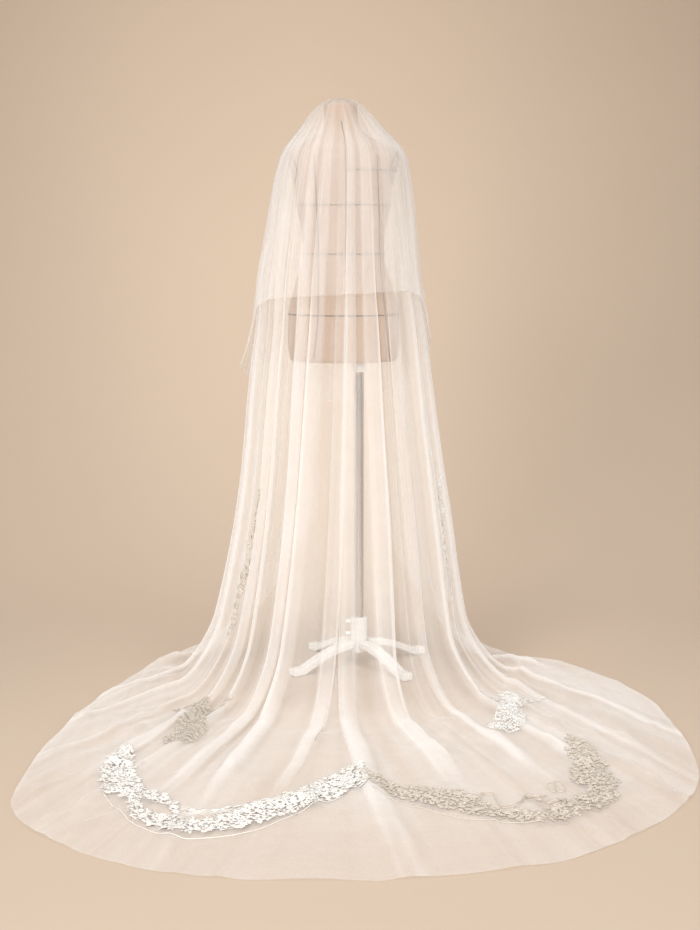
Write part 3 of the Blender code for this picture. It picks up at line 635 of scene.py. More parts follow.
    def crease(self, points: np.ndarray, rows_at: np.ndarray, depth: np.ndarray) -> np.ndarray:
        """Add small creases, uneven in length, depth and spacing.

        Args:
            points: The folded wall.
            rows_at: Share of the way from crown to hem of each row.
            depth: Most that a crease stands out at each point.

        Returns:
            The wall with its creases.
        """
        rng = np.random.default_rng(self.seed)
        down, across = points.shape[:2]
        normal = unit(np.cross(np.gradient(points, axis=0), np.gradient(points, axis=1)))
        column = np.arange(across)[None, :]
        out = np.zeros((down, across))
        for _ in range(self.creases):
            start = rng.uniform(0.02, 0.85)
            length = rng.uniform(0.15, 0.75)
            middle = rng.uniform(0.01, 0.99) * across
            drift = rng.uniform(-0.35, 0.35) * self.between
            width = rng.uniform(0.14, 0.30) * self.between
            strength = rng.uniform(0.35, 1.0) * rng.choice([1.0, 1.0, -0.6])
            share = (rows_at - start) / length
            life = np.where((share > 0.0) & (share < 1.0), np.sin(np.pi * np.clip(share, 0.0, 1.0)) ** 0.8, 0.0)
            centre = middle + drift * share
            t = (column - centre[:, None]) / width
            out += strength * life[:, None] * np.exp(-(t**2))
        return points + normal * (out * depth)[..., None]


@dataclass
class LongTier(Drape):
    """Long tier: one panel gathered at the crown, open at the front, whose lower part is the train."""

    lift_top: float = 1.00
    ridge_at_hem: float = 0.12
    wall: float = 0.0006
    top: float = 1.7100
    shoulder: float = 1.50
    bend_top: float = 0.17
    bend_end: float = 0.10
    crown_rows: int = 22
    hang_rows: int = 84
    bend_rows: int = 34
    train_rows: int = 71
    wrinkles: int = 170
    net_wall: float = 0.80
    net_floor: float = 0.10
    net_fold: float = 0.68
    clear_crown: float = 0.58
    clear_hem: float = 0.30
    tree: BVHTree | None = None

    def rows(self) -> tuple[np.ndarray, np.ndarray, np.ndarray]:
        """Height, share of the train, and share of the way round the bend of each row."""
        crown = np.linspace(self.top, self.shoulder, self.crown_rows, endpoint=False)
        hang = np.linspace(self.shoulder, self.bend_top, self.hang_rows, endpoint=False)
        turn = np.linspace(0.0, 1.0, self.bend_rows, endpoint=False)
        train = np.linspace(self.bend_end, 1.0, self.train_rows)
        high = len(crown) + len(hang)
        z = np.concatenate([crown, hang, self.bend_top * np.clip(1.0 - turn / 0.6, 0.0, 1.0), 0.0 * train])
        share = np.concatenate([np.zeros(high), self.bend_end * np.clip((turn - 0.6) / 0.4, 0.0, 1.0), train])
        return z, share, np.concatenate([np.zeros(high), turn, np.ones(len(train))])

    def plain(self, phi: np.ndarray, z: np.ndarray, share: np.ndarray) -> np.ndarray:
        """Plain wall at angles, unlifted heights, and shares of the way over the floor."""
        bend_z = curve_through(HEMS, 4, phi)
        lifted = np.where(z < self.lift_top, bend_z + z * (1.0 - bend_z / self.lift_top), z)
        base = self.ring(phi, lifted)
        hem = np.stack([curve_through(HEMS, c, phi) for c in (1, 2, 3)], axis=-1)
        return base + (hem - base) * share[..., None]

    def round_bend(self, plain: np.ndarray, phi: np.ndarray, bend: np.ndarray) -> np.ndarray:
        """Turn the wall on to the floor in one smooth curve.

        Args:
            plain: The plain wall.
            phi: Angle of each point.
            bend: Share of the way round the bend of each row.

        Returns:
            The wall with its bend.
        """
        rows = (bend > 0.0) & (bend < 1.0)
        at = phi[rows]
        t = bend[rows][:, None, None]
        high, none = np.full(at.shape, self.bend_top), np.zeros(at.shape)
        start = self.plain(at, high, none)
        end = self.plain(at, none, none + self.bend_end)
        reach = np.linalg.norm(end - start, axis=-1, keepdims=True)
        down = unit(start - self.plain(at, high + 0.01, none)) * reach
        away = unit(end - self.plain(at, none, none)) * reach
        plain[rows] = hermite(start, end, down, away, t)
        return plain

    def rumple(self, points: np.ndarray, share: np.ndarray) -> np.ndarray:
        """Give the cloth on the floor its low swells and short wrinkles.

        Args:
            points: The folded wall.
            share: Share of the way over the floor of each point.

        Returns:
            The wall, its train rumpled.
        """
        rng = np.random.default_rng(self.seed + 1)
        x, y = points[..., 0], points[..., 1]
        lying = np.clip(share / 0.12, 0.0, 1.0) * np.clip((0.06 - points[..., 2]) / 0.05, 0.0, 1.0)
        rise = 0.0022 * (1.0 + np.sin(x * 17.0 + 2.2 * np.sin(y * 6.0) + 0.8))
        rise += 0.0016 * (1.0 + np.sin(y * 21.0 + 1.7 * np.sin(x * 9.0) + 2.1))
        floor_rows = np.flatnonzero(share[:, 0] > 0.06)
        for k in range(self.wrinkles):
            row = floor_rows[int(len(floor_rows) * rng.uniform(0.0, 1.0) ** 0.8)]
            column = int(rng.uniform(0.12, 0.88) * (points.shape[1] - 1))
            here = points[row, column]
            lead = points[min(row + 1, len(points) - 1), column] - points[row - 1, column]
            turn = math.atan2(lead[1], lead[0]) + rng.normal(0.0, 0.30 if k % 4 else 1.0)
            long = rng.uniform(0.07, 0.26) * (1.0 if k % 4 else 0.4)
            wide = rng.uniform(0.014, 0.026)
            tall = rng.uniform(0.003, 0.0095)
            u = (x - here[0]) * math.cos(turn) + (y - here[1]) * math.sin(turn)
            v = (y - here[1]) * math.cos(turn) - (x - here[0]) * math.sin(turn)
            v = v + rng.uniform(-1.6, 1.6) * u**2
            rise = rise + tall * np.exp(-((u / long) ** 2) - (v / wide) ** 2)
        calm = 1.0 - 0.45 * np.clip((share - 0.85) / 0.15, 0.0, 1.0)
        edge = 0.0016 * np.clip((share - 0.965) / 0.035, 0.0, 1.0) * (1.0 + np.sin(x * 26.0 + y * 19.0))
        points[..., 2] += lying * (rise * calm + edge + self.wall)
        return points

    def surface(self) -> tuple[np.ndarray, np.ndarray, np.ndarray]:
        """Work out the folded wall.

        Returns:
            Points in the row frame, their places on the flat cloth, and the net's density.
        """
        z, share, bend = self.rows()
        fall = 1.0 - z / self.top
        lines = [np.full(len(z), HEMS[0, 0])]
        for fold in self.folds:
            hung = fold.top + (fold.floor - fold.top) * fall
            lines.append(hung + (fold.hem - fold.floor) * share)
        lines.append(np.full(len(z), HEMS[-1, 0]))
        phi = self.columns(np.stack(lines, axis=1))
        zz = np.broadcast_to(z[:, None], phi.shape)
        ss = np.broadcast_to(share[:, None], phi.shape)
        plain = self.round_bend(self.plain(phi, zz, ss), phi, bend)
        full = self.ridge(phi, plain[..., 2]) * (1.0 + (self.ridge_at_hem - 1.0) * ss)
        fold_columns = [(k + 1) * self.between for k in range(len(self.folds))]
        points, dense = self.raise_folds(plain, fold_columns, full, ss, fall, 0.0)
        rows_at = np.linspace(0.0, 1.0, len(z))
        facing = 0.35 + 0.65 * np.abs(np.cos(np.radians(phi)))
        points = self.crease(points, rows_at, np.minimum(full * 0.26, 0.0055) * facing)
        points = self.rumple(points, ss)
        points[..., 2] = np.maximum(points[..., 2], self.wall)
        cloth = self.flat_cloth(points, points.shape[1] // 2)
        return points + SHIFT, cloth, self.density(phi, ss, dense, self.crown(points))

    def density(self, phi: np.ndarray, share: np.ndarray, dense: np.ndarray, crown: np.ndarray) -> np.ndarray:
        """How dense the net lies: closer in the folds and at the sides of the train, open at the crown and hem.

        Args:
            phi: Angle of each point.
            share: Share of the way over the floor.
            dense: How much cloth is gathered there.
            crown: Share of the way up into the crown.

        Returns:
            The net's density at each point.
        """
        net = self.net_wall + self.net_floor * np.clip(share * 4.0, 0.0, 1.0)
        net = (net + self.net_fold * dense * (1.0 - 0.30 * share)) * (1.0 - self.clear_crown * crown)
        side = 0.94 + 0.26 * np.clip(np.abs(phi) / 95.0, 0.0, 1.0)
        back = np.clip(np.cos(np.radians(phi)), 0.0, 1.0)
        side = side * (1.0 - self.clear_hem * back * np.clip((share - 0.62) / 0.25, 0.0, 1.0))
        return net * (1.0 + (side - 1.0) * np.clip(share * 3.0, 0.0, 1.0)) * self.streaks(*net.shape)

    def build(self) -> bpy.types.Object:
        """Build the tier in place of its solid."""
        mesh = cloth_grid(*self.surface(), closed=False)
        self.tree = BVHTree.FromBMesh(mesh)
        obj = to_object("long_tier_tulle", mesh, self.material)
        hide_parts("long_tier")
        return obj


@dataclass
class ShortTier(Drape):
    """Short tier: a closed bell over the long tier, from the crown to its own slanting hem."""

    wall: float = 0.0012
    gap_crown: float = 0.0008
    gap_hem: float = 0.0030
    flare_power: int = 8
    share_of_ridge: float = 0.55
    top: float = 1.7153
    ring_top: float = 1.7005
    hub: tuple[float, float, float] = (-0.0095, 0.0, 1.7165)
    net_wall: float = 0.76
    net_fold: float = 0.45
    clear_crown: float = 0.62

    def plain(self, phi: np.ndarray, share: np.ndarray) -> np.ndarray:
        """Plain wall at angles and shares of the way from the top ring to the hem."""
        turn = self.wrapped(phi)
        hem = curve_through(SHORT_HEMS, 1, turn)
        z = self.ring_top + (hem - self.ring_top) * share
        around = self.ring(self.wrapped(turn + 0.5), z) - self.ring(self.wrapped(turn - 0.5), z)
        down = self.ring(turn, z - 0.003) - self.ring(turn, z + 0.003)
        out = unit(np.cross(down, around))
        fall = (self.top - z) / (self.top - hem)
        gap = self.gap_crown + (self.gap_hem - self.gap_crown) * np.minimum(fall * 2.0, 1.0)
        flare = curve_through(SHORT_HEMS, 2, turn) * fall**self.flare_power
        return self.ring(turn, z) + out * (self.ridge(turn, z) + self.wall + gap + flare)[..., None]

    @staticmethod
    def wrapped(phi: np.ndarray) -> np.ndarray:
        """The same angles between -180 and 180 degrees."""
        return (phi + 180.0) % 360.0 - 180.0

    def surface(self) -> tuple[np.ndarray, np.ndarray, np.ndarray]:
        """Work out the folded bell.

        Returns:
            Points in the row frame, their places on the flat cloth, and the net's density.
        """
        share = np.linspace(0.0, 1.0, 104)
        lines = [fold.top + (fold.hem - fold.top) * share for fold in self.folds]
        lines = [*lines, lines[0] + 360.0]
        phi = self.columns(np.stack(lines, axis=1))
        ss = np.broadcast_to(share[:, None], phi.shape)
        plain = self.plain(phi, ss)
        full = self.ridge(self.wrapped(phi), plain[..., 2]) * self.share_of_ridge
        fold_columns = [k * self.between for k in range(len(self.folds))]
        points, dense = self.raise_folds(plain, fold_columns, full, np.zeros(phi.shape), share, 1.0)
        edge = self.crease(points, share, np.minimum(full * 0.25, 0.003))
        blend = np.ones(points.shape[1])
        blend[:3], blend[-3:] = (0.0, 0.3, 0.7), (0.7, 0.3, 0.0)
        points = points + (edge - points) * blend[None, :, None]
        points[:, -1] = points[:, 0]
        first = points[0]
        hub = np.array(self.hub)
        cap = []
        for r in np.linspace(0.0, 1.0, 9)[:-1]:
            ring = hub + (first - hub) * r
            ring[:, 2] = hub[2] - (hub[2] - first[:, 2]) * r**2.4
            cap.append(ring)
        points = np.concatenate([np.array(cap), points])
        dense = np.concatenate([np.repeat(dense[:1], len(cap), axis=0), dense])
        density = (self.net_wall + self.net_fold * dense) * (1.0 - self.clear_crown * self.crown(points))
        density = density * self.streaks(*dense.shape)
        density[:, -1] = density[:, 0]
        return points + SHIFT, self.flat_cloth(points, 0), density

    def build(self) -> bpy.types.Object:
        """Build the tier in place of its solid."""
        mesh = cloth_grid(*self.surface(), closed=True)
        obj = to_object("short_tier_tulle", mesh, self.material)
        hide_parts("short_tier")
        return obj


@dataclass
class DressForm:
    """Limbless dress form in woven cloth, with its seams and style tapes."""

    cloth: bpy.types.Material
    tape: bpy.types.Material
    base: float = 0.9400
    base_edge: float = 0.9480
    neck_top: float = 1.69
    neck: float = 0.049
    lean: float = -0.0095
    cap_top: float = 1.7153
    cap_drop: float = 0.0154
    sides: int = 96
    levels: tuple[float, ...] = (1.404, 1.260, 1.080)
    centre_seam_to: float = 1.66
    side_seams_to: float = 1.56
    yoke: float = 1.505
    armhole: float = 0.0475
    tape_half: float = 0.0017

    def point(self, phi: np.ndarray, z: np.ndarray) -> np.ndarray:
        """Points of the form's skin at angles in degrees and heights."""
        turn = np.radians(phi)
        depth = np.where(np.cos(turn) > 0.0, curve_through(FORM_RINGS, 3, z), curve_through(FORM_RINGS, 4, z))
        x = curve_through(FORM_RINGS, 1, z) + curve_through(FORM_RINGS, 2, z) * np.sin(turn)
        return np.stack([x, -depth * np.cos(turn), z + 0.0 * x], axis=-1)

    def build(self) -> list[bpy.types.Object]:
        """Build the form and its tapes in place of the form's solid."""
        base, edge, top = self.base, self.base_edge, self.neck_top
        z = np.concatenate([np.linspace(base, edge, 4), np.linspace(edge, top, self.sides)[1:]])
        phi = np.linspace(-180.0, 180.0, self.sides + 1)
        rows = [self.point(phi, np.full(phi.shape, level)) for level in z]
        turn = np.radians(phi)
        for k in np.linspace(1.0, 0.0, 10):
            radius = self.neck * k
            height = np.full(turn.shape, self.cap_top - self.cap_drop * k**2)
            rows.append(np.stack([self.lean + radius * np.sin(turn), -radius * np.cos(turn), height], axis=-1))
        points = np.array(rows[::-1]) + SHIFT
        points[:, -1] = points[:, 0]
        flat = np.zeros(points.shape[:2])
        mesh = cloth_grid(points, points[..., :2], flat, closed=True)
        rim = [edge for edge in mesh.edges if edge.is_boundary]
        bmesh.ops.holes_fill(mesh, edges=rim, sides=0)
        bmesh.ops.recalc_face_normals(mesh, faces=mesh.faces[:])
        form = to_object("dress_form_body", mesh, self.cloth)
        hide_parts("dress_form")
        return [form, self.tapes()]

    def tapes(self) -> bpy.types.Object:
        """Narrow dark tapes: down the centre and the princess seams, round the arms, and level."""
        lines = []
        z = np.linspace(self.base + 0.002, self.centre_seam_to, 60)
        for column in (1, 2, 3):
            share = np.clip(curve_through(SEAMS, column, z) / curve_through(FORM_RINGS, 2, z), -0.9, 0.9)
            use = z < (self.centre_seam_to if column == 1 else self.side_seams_to)
            lines.append((np.degrees(np.arcsin(share))[use], z[use]))
            lines.append((180.0 - np.degrees(np.arcsin(share))[use], z[use]))
        for level in self.levels:
            lines.append((np.linspace(-180.0, 180.0, 97), np.full(97, level)))
        lines.append((np.linspace(4.0, 176.0, 60), np.full(60, self.yoke)))
        t = np.linspace(0.0, math.pi, 24)
        for sign in (-1.0, 1.0):
            for way in (-31.0, 31.0):
                level = self.side_seams_to - self.armhole * (1.0 - np.cos(t))
                lines.append((sign * (90.0 + way * np.sin(t)), level))
        mesh = bmesh.new()
        for phi, level in lines:
            self.tape_along(mesh, self.point(phi, level) + SHIFT, phi)
        return to_object("form_tapes", mesh, self.tape)

    def tape_along(self, mesh: bmesh.types.BMesh, path: np.ndarray, phi: np.ndarray) -> None:
        """Lay one narrow tape on the skin along a path."""
        turn = np.radians(phi)
        out = unit(np.stack([np.sin(turn), -np.cos(turn), 0.0 * turn], axis=-1))
        tube_along(mesh, path + out * 0.0006, self.tape_half, 4)


def tube_along(mesh: bmesh.types.BMesh, path: np.ndarray, radius: float, sides: int) -> None:
    """Sweep a small ring of vertices along a path of points by extrusion, and close it.

    Args:
        mesh: The mesh that gets the tube.
        path: Points by 3. The tube closes on itself where the first point is repeated last.
        radius: Radius of the tube.
        sides: Sides of the tube.
    """
    heading = np.gradient(path, axis=0)
    endless = np.allclose(path[0], path[-1], atol=1e-7)
    if endless:
        heading[0] = heading[-1] = path[1] - path[-2]
    heading = unit(heading)
    up = np.tile([0.0, 0.0, 1.0], (len(path), 1))
    up[np.abs(heading[:, 2]) > 0.9] = (1.0, 0.0, 0.0)
    first = unit(np.cross(heading, up))
    second = np.cross(heading, first)
    ring = bmesh.ops.create_circle(mesh, cap_ends=False, segments=sides, radius=1.0)["verts"]
    turns = [math.atan2(vert.co.y, vert.co.x) for vert in ring]
    edges = list({edge for vert in ring for edge in vert.link_edges})
    start, every = list(ring), list(ring)
    for index, point in enumerate(path):
        if index:
            made = bmesh.ops.extrude_edge_only(mesh, edges=edges)["geom"]
            verts = [item for item in made if isinstance(item, bmesh.types.BMVert)]
            edges = [item for item in made if isinstance(item, bmesh.types.BMEdge)]
            ring = verts
            every += verts
        for vert, turn in zip(ring, turns):
            vert.co = Vector(point + radius * (first[index] * math.cos(turn) + second[index] * math.sin(turn)))
    if endless:
        bmesh.ops.weld_verts(mesh, targetmap=dict(zip(ring, start)))
        every = [vert for vert in every if vert.is_valid]
    else:
        for end in (start, ring):
            bmesh.ops.contextual_create(mesh, geom=end)
    bmesh.ops.recalc_face_normals(mesh, faces=list({face for vert in every for face in vert.link_faces}))


def closed_loop(length: float, width: float, start: float, steps: int, lift: float) -> np.ndarray:
    """Points of a pointed oval loop that runs out along +X, its first point repeated last.

    Args:
        length: Length of the loop.
        width: Its width.
        start: Distance of its near end from the middle.
        steps: Number of points round it.
        lift: Height at its far end.

    Returns:
        Points by 3.
    """
    turn = np.linspace(0.0, 2.0 * math.pi, steps + 1)
    x = start + length * (1.0 - np.cos(turn)) / 2.0
    y = width / 2.0 * np.sin(turn) * (1.0 - 0.30 * np.cos(turn))
    return np.stack([x, y, lift * (x - start) / length + 0.0 * x], axis=-1)


@dataclass
class Chart:
    """A flat board held against the cloth, on which lace is laid out before it is dropped on."""

    origin: Vector
    across: Vector
    along: Vector
    out: Vector
    cell: float = 0.004
    reach: float = 0.30
    offset: float = 0.0018

    def drop(self, mesh: bmesh.types.BMesh, cloth: BVHTree) -> None:
        """Drop flat lace on the cloth, so that it follows the folds under it.

        Args:
            mesh: Lace laid out flat, with its height over the board in Z.
            cloth: The cloth.
        """
        flat = np.array([vert.co for vert in mesh.verts])
        low, high = flat[:, :2].min(axis=0) - 3.0 * self.cell, flat[:, :2].max(axis=0) + 3.0 * self.cell
        count = np.ceil((high - low) / self.cell).astype(int) + 1
        rises = np.zeros(count)
        for i in range(count[0]):
            for j in range(count[1]):
                u, v = low[0] + i * self.cell, low[1] + j * self.cell
                start = self.origin + self.across * u + self.along * v + self.out * self.reach
                hit = cloth.ray_cast(start, -self.out, 2.0 * self.reach)
                rises[i, j] = self.reach - hit[3] if hit[0] is not None else 0.0
        spread = np.lib.stride_tricks.sliding_window_view(np.pad(rises, 1, mode="edge"), (3, 3))
        rises = spread.max(axis=(2, 3))
        for _ in range(2):
            rises[1:-1] = (rises[:-2] + 2.0 * rises[1:-1] + rises[2:]) / 4.0
            rises[:, 1:-1] = (rises[:, :-2] + 2.0 * rises[:, 1:-1] + rises[:, 2:]) / 4.0
        at = (flat[:, :2] - low) / self.cell
        i, j = np.floor(at).astype(int).T
        fi, fj = (at - np.floor(at)).T
        height = (rises[i, j] * (1 - fi) + rises[i + 1, j] * fi) * (1 - fj)
        height += (rises[i, j + 1] * (1 - fi) + rises[i + 1, j + 1] * fi) * fj
        for vert, (u, v, h), rise in zip(mesh.verts, flat, height):
            vert.co = self.origin + self.across * u + self.along * v + self.out * (h + rise + self.offset)


class Sprig(Enum):
    """Stock of small embroidered shapes that every motif is put together from."""

    ROSE = "rose"
    DAISY = "daisy"
    BUD = "bud"
    LEAF = "leaf"
    RING = "ring"
    BEAD = "bead"
    PEARLS = "pearls"
    CHIP = "chip"


@dataclass
class Embroidery:
    """One lace piece: sprigs laid flat on a chart, with cords between them."""

    name: str
    thread: bpy.types.Material
    bead: bpy.types.Material
    slot: Slot
    seed: int
    cord: float = 0.00075
    placed: list[tuple[Sprig, float, float, float, float]] = field(default_factory=list)
    cords: list[tuple[np.ndarray, float]] = field(default_factory=list)

    def put(self, sprig: Sprig, u: float, v: float, size: float, turn: float) -> None:
        """Place a sprig by its middle, size in metres and turn in degrees."""
        self.placed.append((sprig, u, v, size, turn))

    def run(self, path: np.ndarray, radius: float) -> None:
        """Place a cord along a flat path."""
        self.cords.append((path, radius))

    def stock(self) -> dict[Sprig, bpy.types.Mesh]:
        """Make one of each sprig, of size 1 m."""
        kinds: dict[Sprig, bpy.types.Mesh] = {}
        for sprig in Sprig:
            mesh = bmesh.new()
            self.make(mesh, sprig)
            bmesh.ops.remove_doubles(mesh, verts=mesh.verts[:], dist=1e-5)
            kinds[sprig] = bpy.data.meshes.new(sprig.value)
            mesh.to_mesh(kinds[sprig])
            mesh.free()
        return kinds

    def make(self, mesh: bmesh.types.BMesh, sprig: Sprig) -> None:
        """Make one sprig of size 1 m round the origin."""
        if sprig is Sprig.ROSE:
            self.blossom(mesh, 5, 0.50, 0.32, 0.044)
            self.beads(mesh, [(0.0, 0.0, 0.06)], 0.085)
        elif sprig is Sprig.DAISY:
            self.blossom(mesh, 6, 0.50, 0.42, 0.040)
            self.beads(mesh, [(0.0, 0.0, 0.06)], 0.095)
        elif sprig is Sprig.BUD:
            self.petals(mesh, 3, 0.44, 0.30, 0.03, 0.046, spread=110.0, steps=6)
        elif sprig is Sprig.LEAF:
            self.petals(mesh, 1, 0.96, 0.40, -0.48, 0.050)
            tube_along(mesh, np.array([(-0.42, 0.0, 0.02), (0.0, 0.02, 0.03), (0.42, 0.0, 0.02)]), 0.030, 3)
        elif sprig is Sprig.RING:
            tube_along(mesh, closed_loop(0.96, 0.96, -0.48, 12, 0.0), 0.055, 3)
        elif sprig is Sprig.BEAD:
            self.beads(mesh, [(0.0, 0.0, 0.3)], 0.5)
        elif sprig is Sprig.CHIP:
            self.petals(mesh, 1, 0.96, 0.60, -0.48, 0.0)
        else:
            turn = np.linspace(0.0, 2.0 * math.pi, 7)[:-1]
            self.beads(mesh, [(0.38 * math.cos(t), 0.38 * math.sin(t), 0.06) for t in turn], 0.13)

    def blossom(self, mesh: bmesh.types.BMesh, lobes: int, radius: float, notch: float, cord: float) -> None:
        """Add a flower: one filled blade with rounded lobes, and a cord along its edge."""
        turn = np.linspace(0.0, 2.0 * math.pi, lobes * 4 + 1)
        out = radius * (1.0 - notch * (1.0 - np.abs(np.sin(lobes * turn / 2.0)) ** 0.7))
        path = np.stack([out * np.cos(turn), out * np.sin(turn), 0.06 * out / radius], axis=-1)
        tube_along(mesh, path, cord, 3)
        blade = bmesh.ops.create_circle(mesh, cap_ends=True, segments=lobes * 4, radius=1.0)["verts"]
        for vert, point in zip(blade, path[:-1]):
            vert.co = Vector(point)

    def petals(
        self,
        mesh: bmesh.types.BMesh,
        count: int,
        length: float,
        width: float,
        start: float,
        cord: float,
        spread: float = 360.0,
        steps: int = 8,
    ) -> None:
        """Add petals round the origin: a filled blade with a cord round it."""
        first_turn = spread / 2.0 if spread < 360.0 else 0.0
        for k in range(count):
            turn = Matrix.Rotation(math.radians(spread * k / count - first_turn), 4, "Z")
            first = len(mesh.verts)
            path = closed_loop(length, width, start, steps, 0.03)
            if cord:
                tube_along(mesh, path, cord, 3)
            blade = bmesh.ops.create_circle(mesh, cap_ends=True, segments=steps, radius=1.0)["verts"]
            for vert, point in zip(blade, path[:-1]):
                vert.co = Vector(point)
            mesh.verts.ensure_lookup_table()
            bmesh.ops.transform(mesh, matrix=turn, verts=mesh.verts[first:])

    def beads(self, mesh: bmesh.types.BMesh, places: list[tuple[float, float, float]], radius: float) -> None:
        """Add small round beads."""
        for place in places:
            there = Matrix.Translation(place)
            made = bmesh.ops.create_uvsphere(mesh, u_segments=5, v_segments=3, radius=radius, matrix=there)
            for face in {face for vert in made["verts"] for face in vert.link_faces}:
                face.material_index = 1

    def add_copy(self, mesh: bmesh.types.BMesh, source: bpy.types.Mesh, place: Matrix) -> None:
        """Add a moved copy of a small mesh."""
        copy = source.copy()
        copy.transform(place)
        mesh.from_mesh(copy)
        bpy.data.meshes.remove(copy)

    def build(self, chart: Chart, cloth: BVHTree, node: str) -> bpy.types.Object:
        """Build the lace and drop it on the cloth.

        Args:
            chart: The board it is laid out on.
            cloth: The cloth it lies on.
            node: The solid that it stands for.

        Returns:
            The lace.
        """
        mesh = bmesh.new()
        kinds = self.stock()
        for sprig, u, v, size, turn in self.placed:
            turned = Matrix.Rotation(math.radians(turn), 4, "Z") @ Matrix.Scale(size, 4)
            self.add_copy(mesh, kinds[sprig], Matrix.Translation((u, v, 0.0)) @ turned)
        for path, radius in self.cords:
            strand = bmesh.new()
            tube_along(strand, path, radius, 5)
            held = bpy.data.meshes.new("strand")
            strand.to_mesh(held)
            strand.free()
            self.add_copy(mesh, held, Matrix.Identity(4))
            bpy.data.meshes.remove(held)
        for held in kinds.values():
            bpy.data.meshes.remove(held)
        LOG.info("%s: %d sprigs, %d cords", self.name, len(self.placed), len(self.cords))
        chart.drop(mesh, cloth)
        mesh.normal_update()
        obj = to_object(self.name, mesh, self.thread)
        obj.data.materials.append(self.bead)
        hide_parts(node)
        return obj


@dataclass(frozen=True)
class BandPlan:
    """How a train band is filled: where it is solid, and where it is bare.

    Args:
        first: First angle.
        last: Last angle.
        solid: Angle, and from and to which share of the band's width it is solid.
        bare: Bare places: angle, share, half-length and half-width in metres.
    """

    first: float
    last: float
    solid: tuple[tuple[float, float, float], ...]
    bare: tuple[tuple[float, float, float, float], ...]


# Where the left and the right band are solid and bare
LEFT_PLAN = BandPlan(
    -51.0,
    2.0,
    (
        (-51.0, 0.20, 0.75), (-48.5, -0.05, 1.0), (-42.0, -0.05, 1.0), (-39.0, -0.10, 0.80),
        (-36.5, -0.05, 0.60), (-35.0, -0.10, 0.75), (-33.5, -0.12, 1.05), (-28.5, -0.12, 1.05),
        (-26.5, 0.10, 1.05), (-25.0, 0.50, 1.10), (-18.0, 0.46, 1.05), (-15.5, 0.20, 1.0),
        (-13.5, -0.02, 1.05), (-8.0, -0.10, 1.05), (-4.0, -0.20, 1.10), (2.0, -0.35, 1.10),
    ),
    ((-30.6, 0.36, 0.060, 0.023),),
)
RIGHT_PLAN = BandPlan(
    1.5,
    59.0,
    (
        (1.5, 0.10, 0.85), (5.0, -0.15, 1.0), (9.0, -0.40, 1.05), (14.0, -0.35, 1.05),
        (16.5, -0.15, 1.05), (19.0, 0.45, 1.0), (24.0, 0.62, 1.05), (28.0, 0.52, 1.05),
        (31.0, 0.46, 1.0), (35.0, 0.35, 1.0), (38.0, -0.02, 1.0), (41.0, -0.20, 1.05),
        (44.0, -0.36, 1.10), (47.0, -0.15, 0.90), (50.0, -0.30, 1.05), (53.0, -0.10, 0.85),
        (56.0, -0.05, 0.90), (59.0, 0.20, 0.55),
    ),
    ((38.0, 0.12, 0.040, 0.026), (31.0, 0.78, 0.018, 0.008)),
)


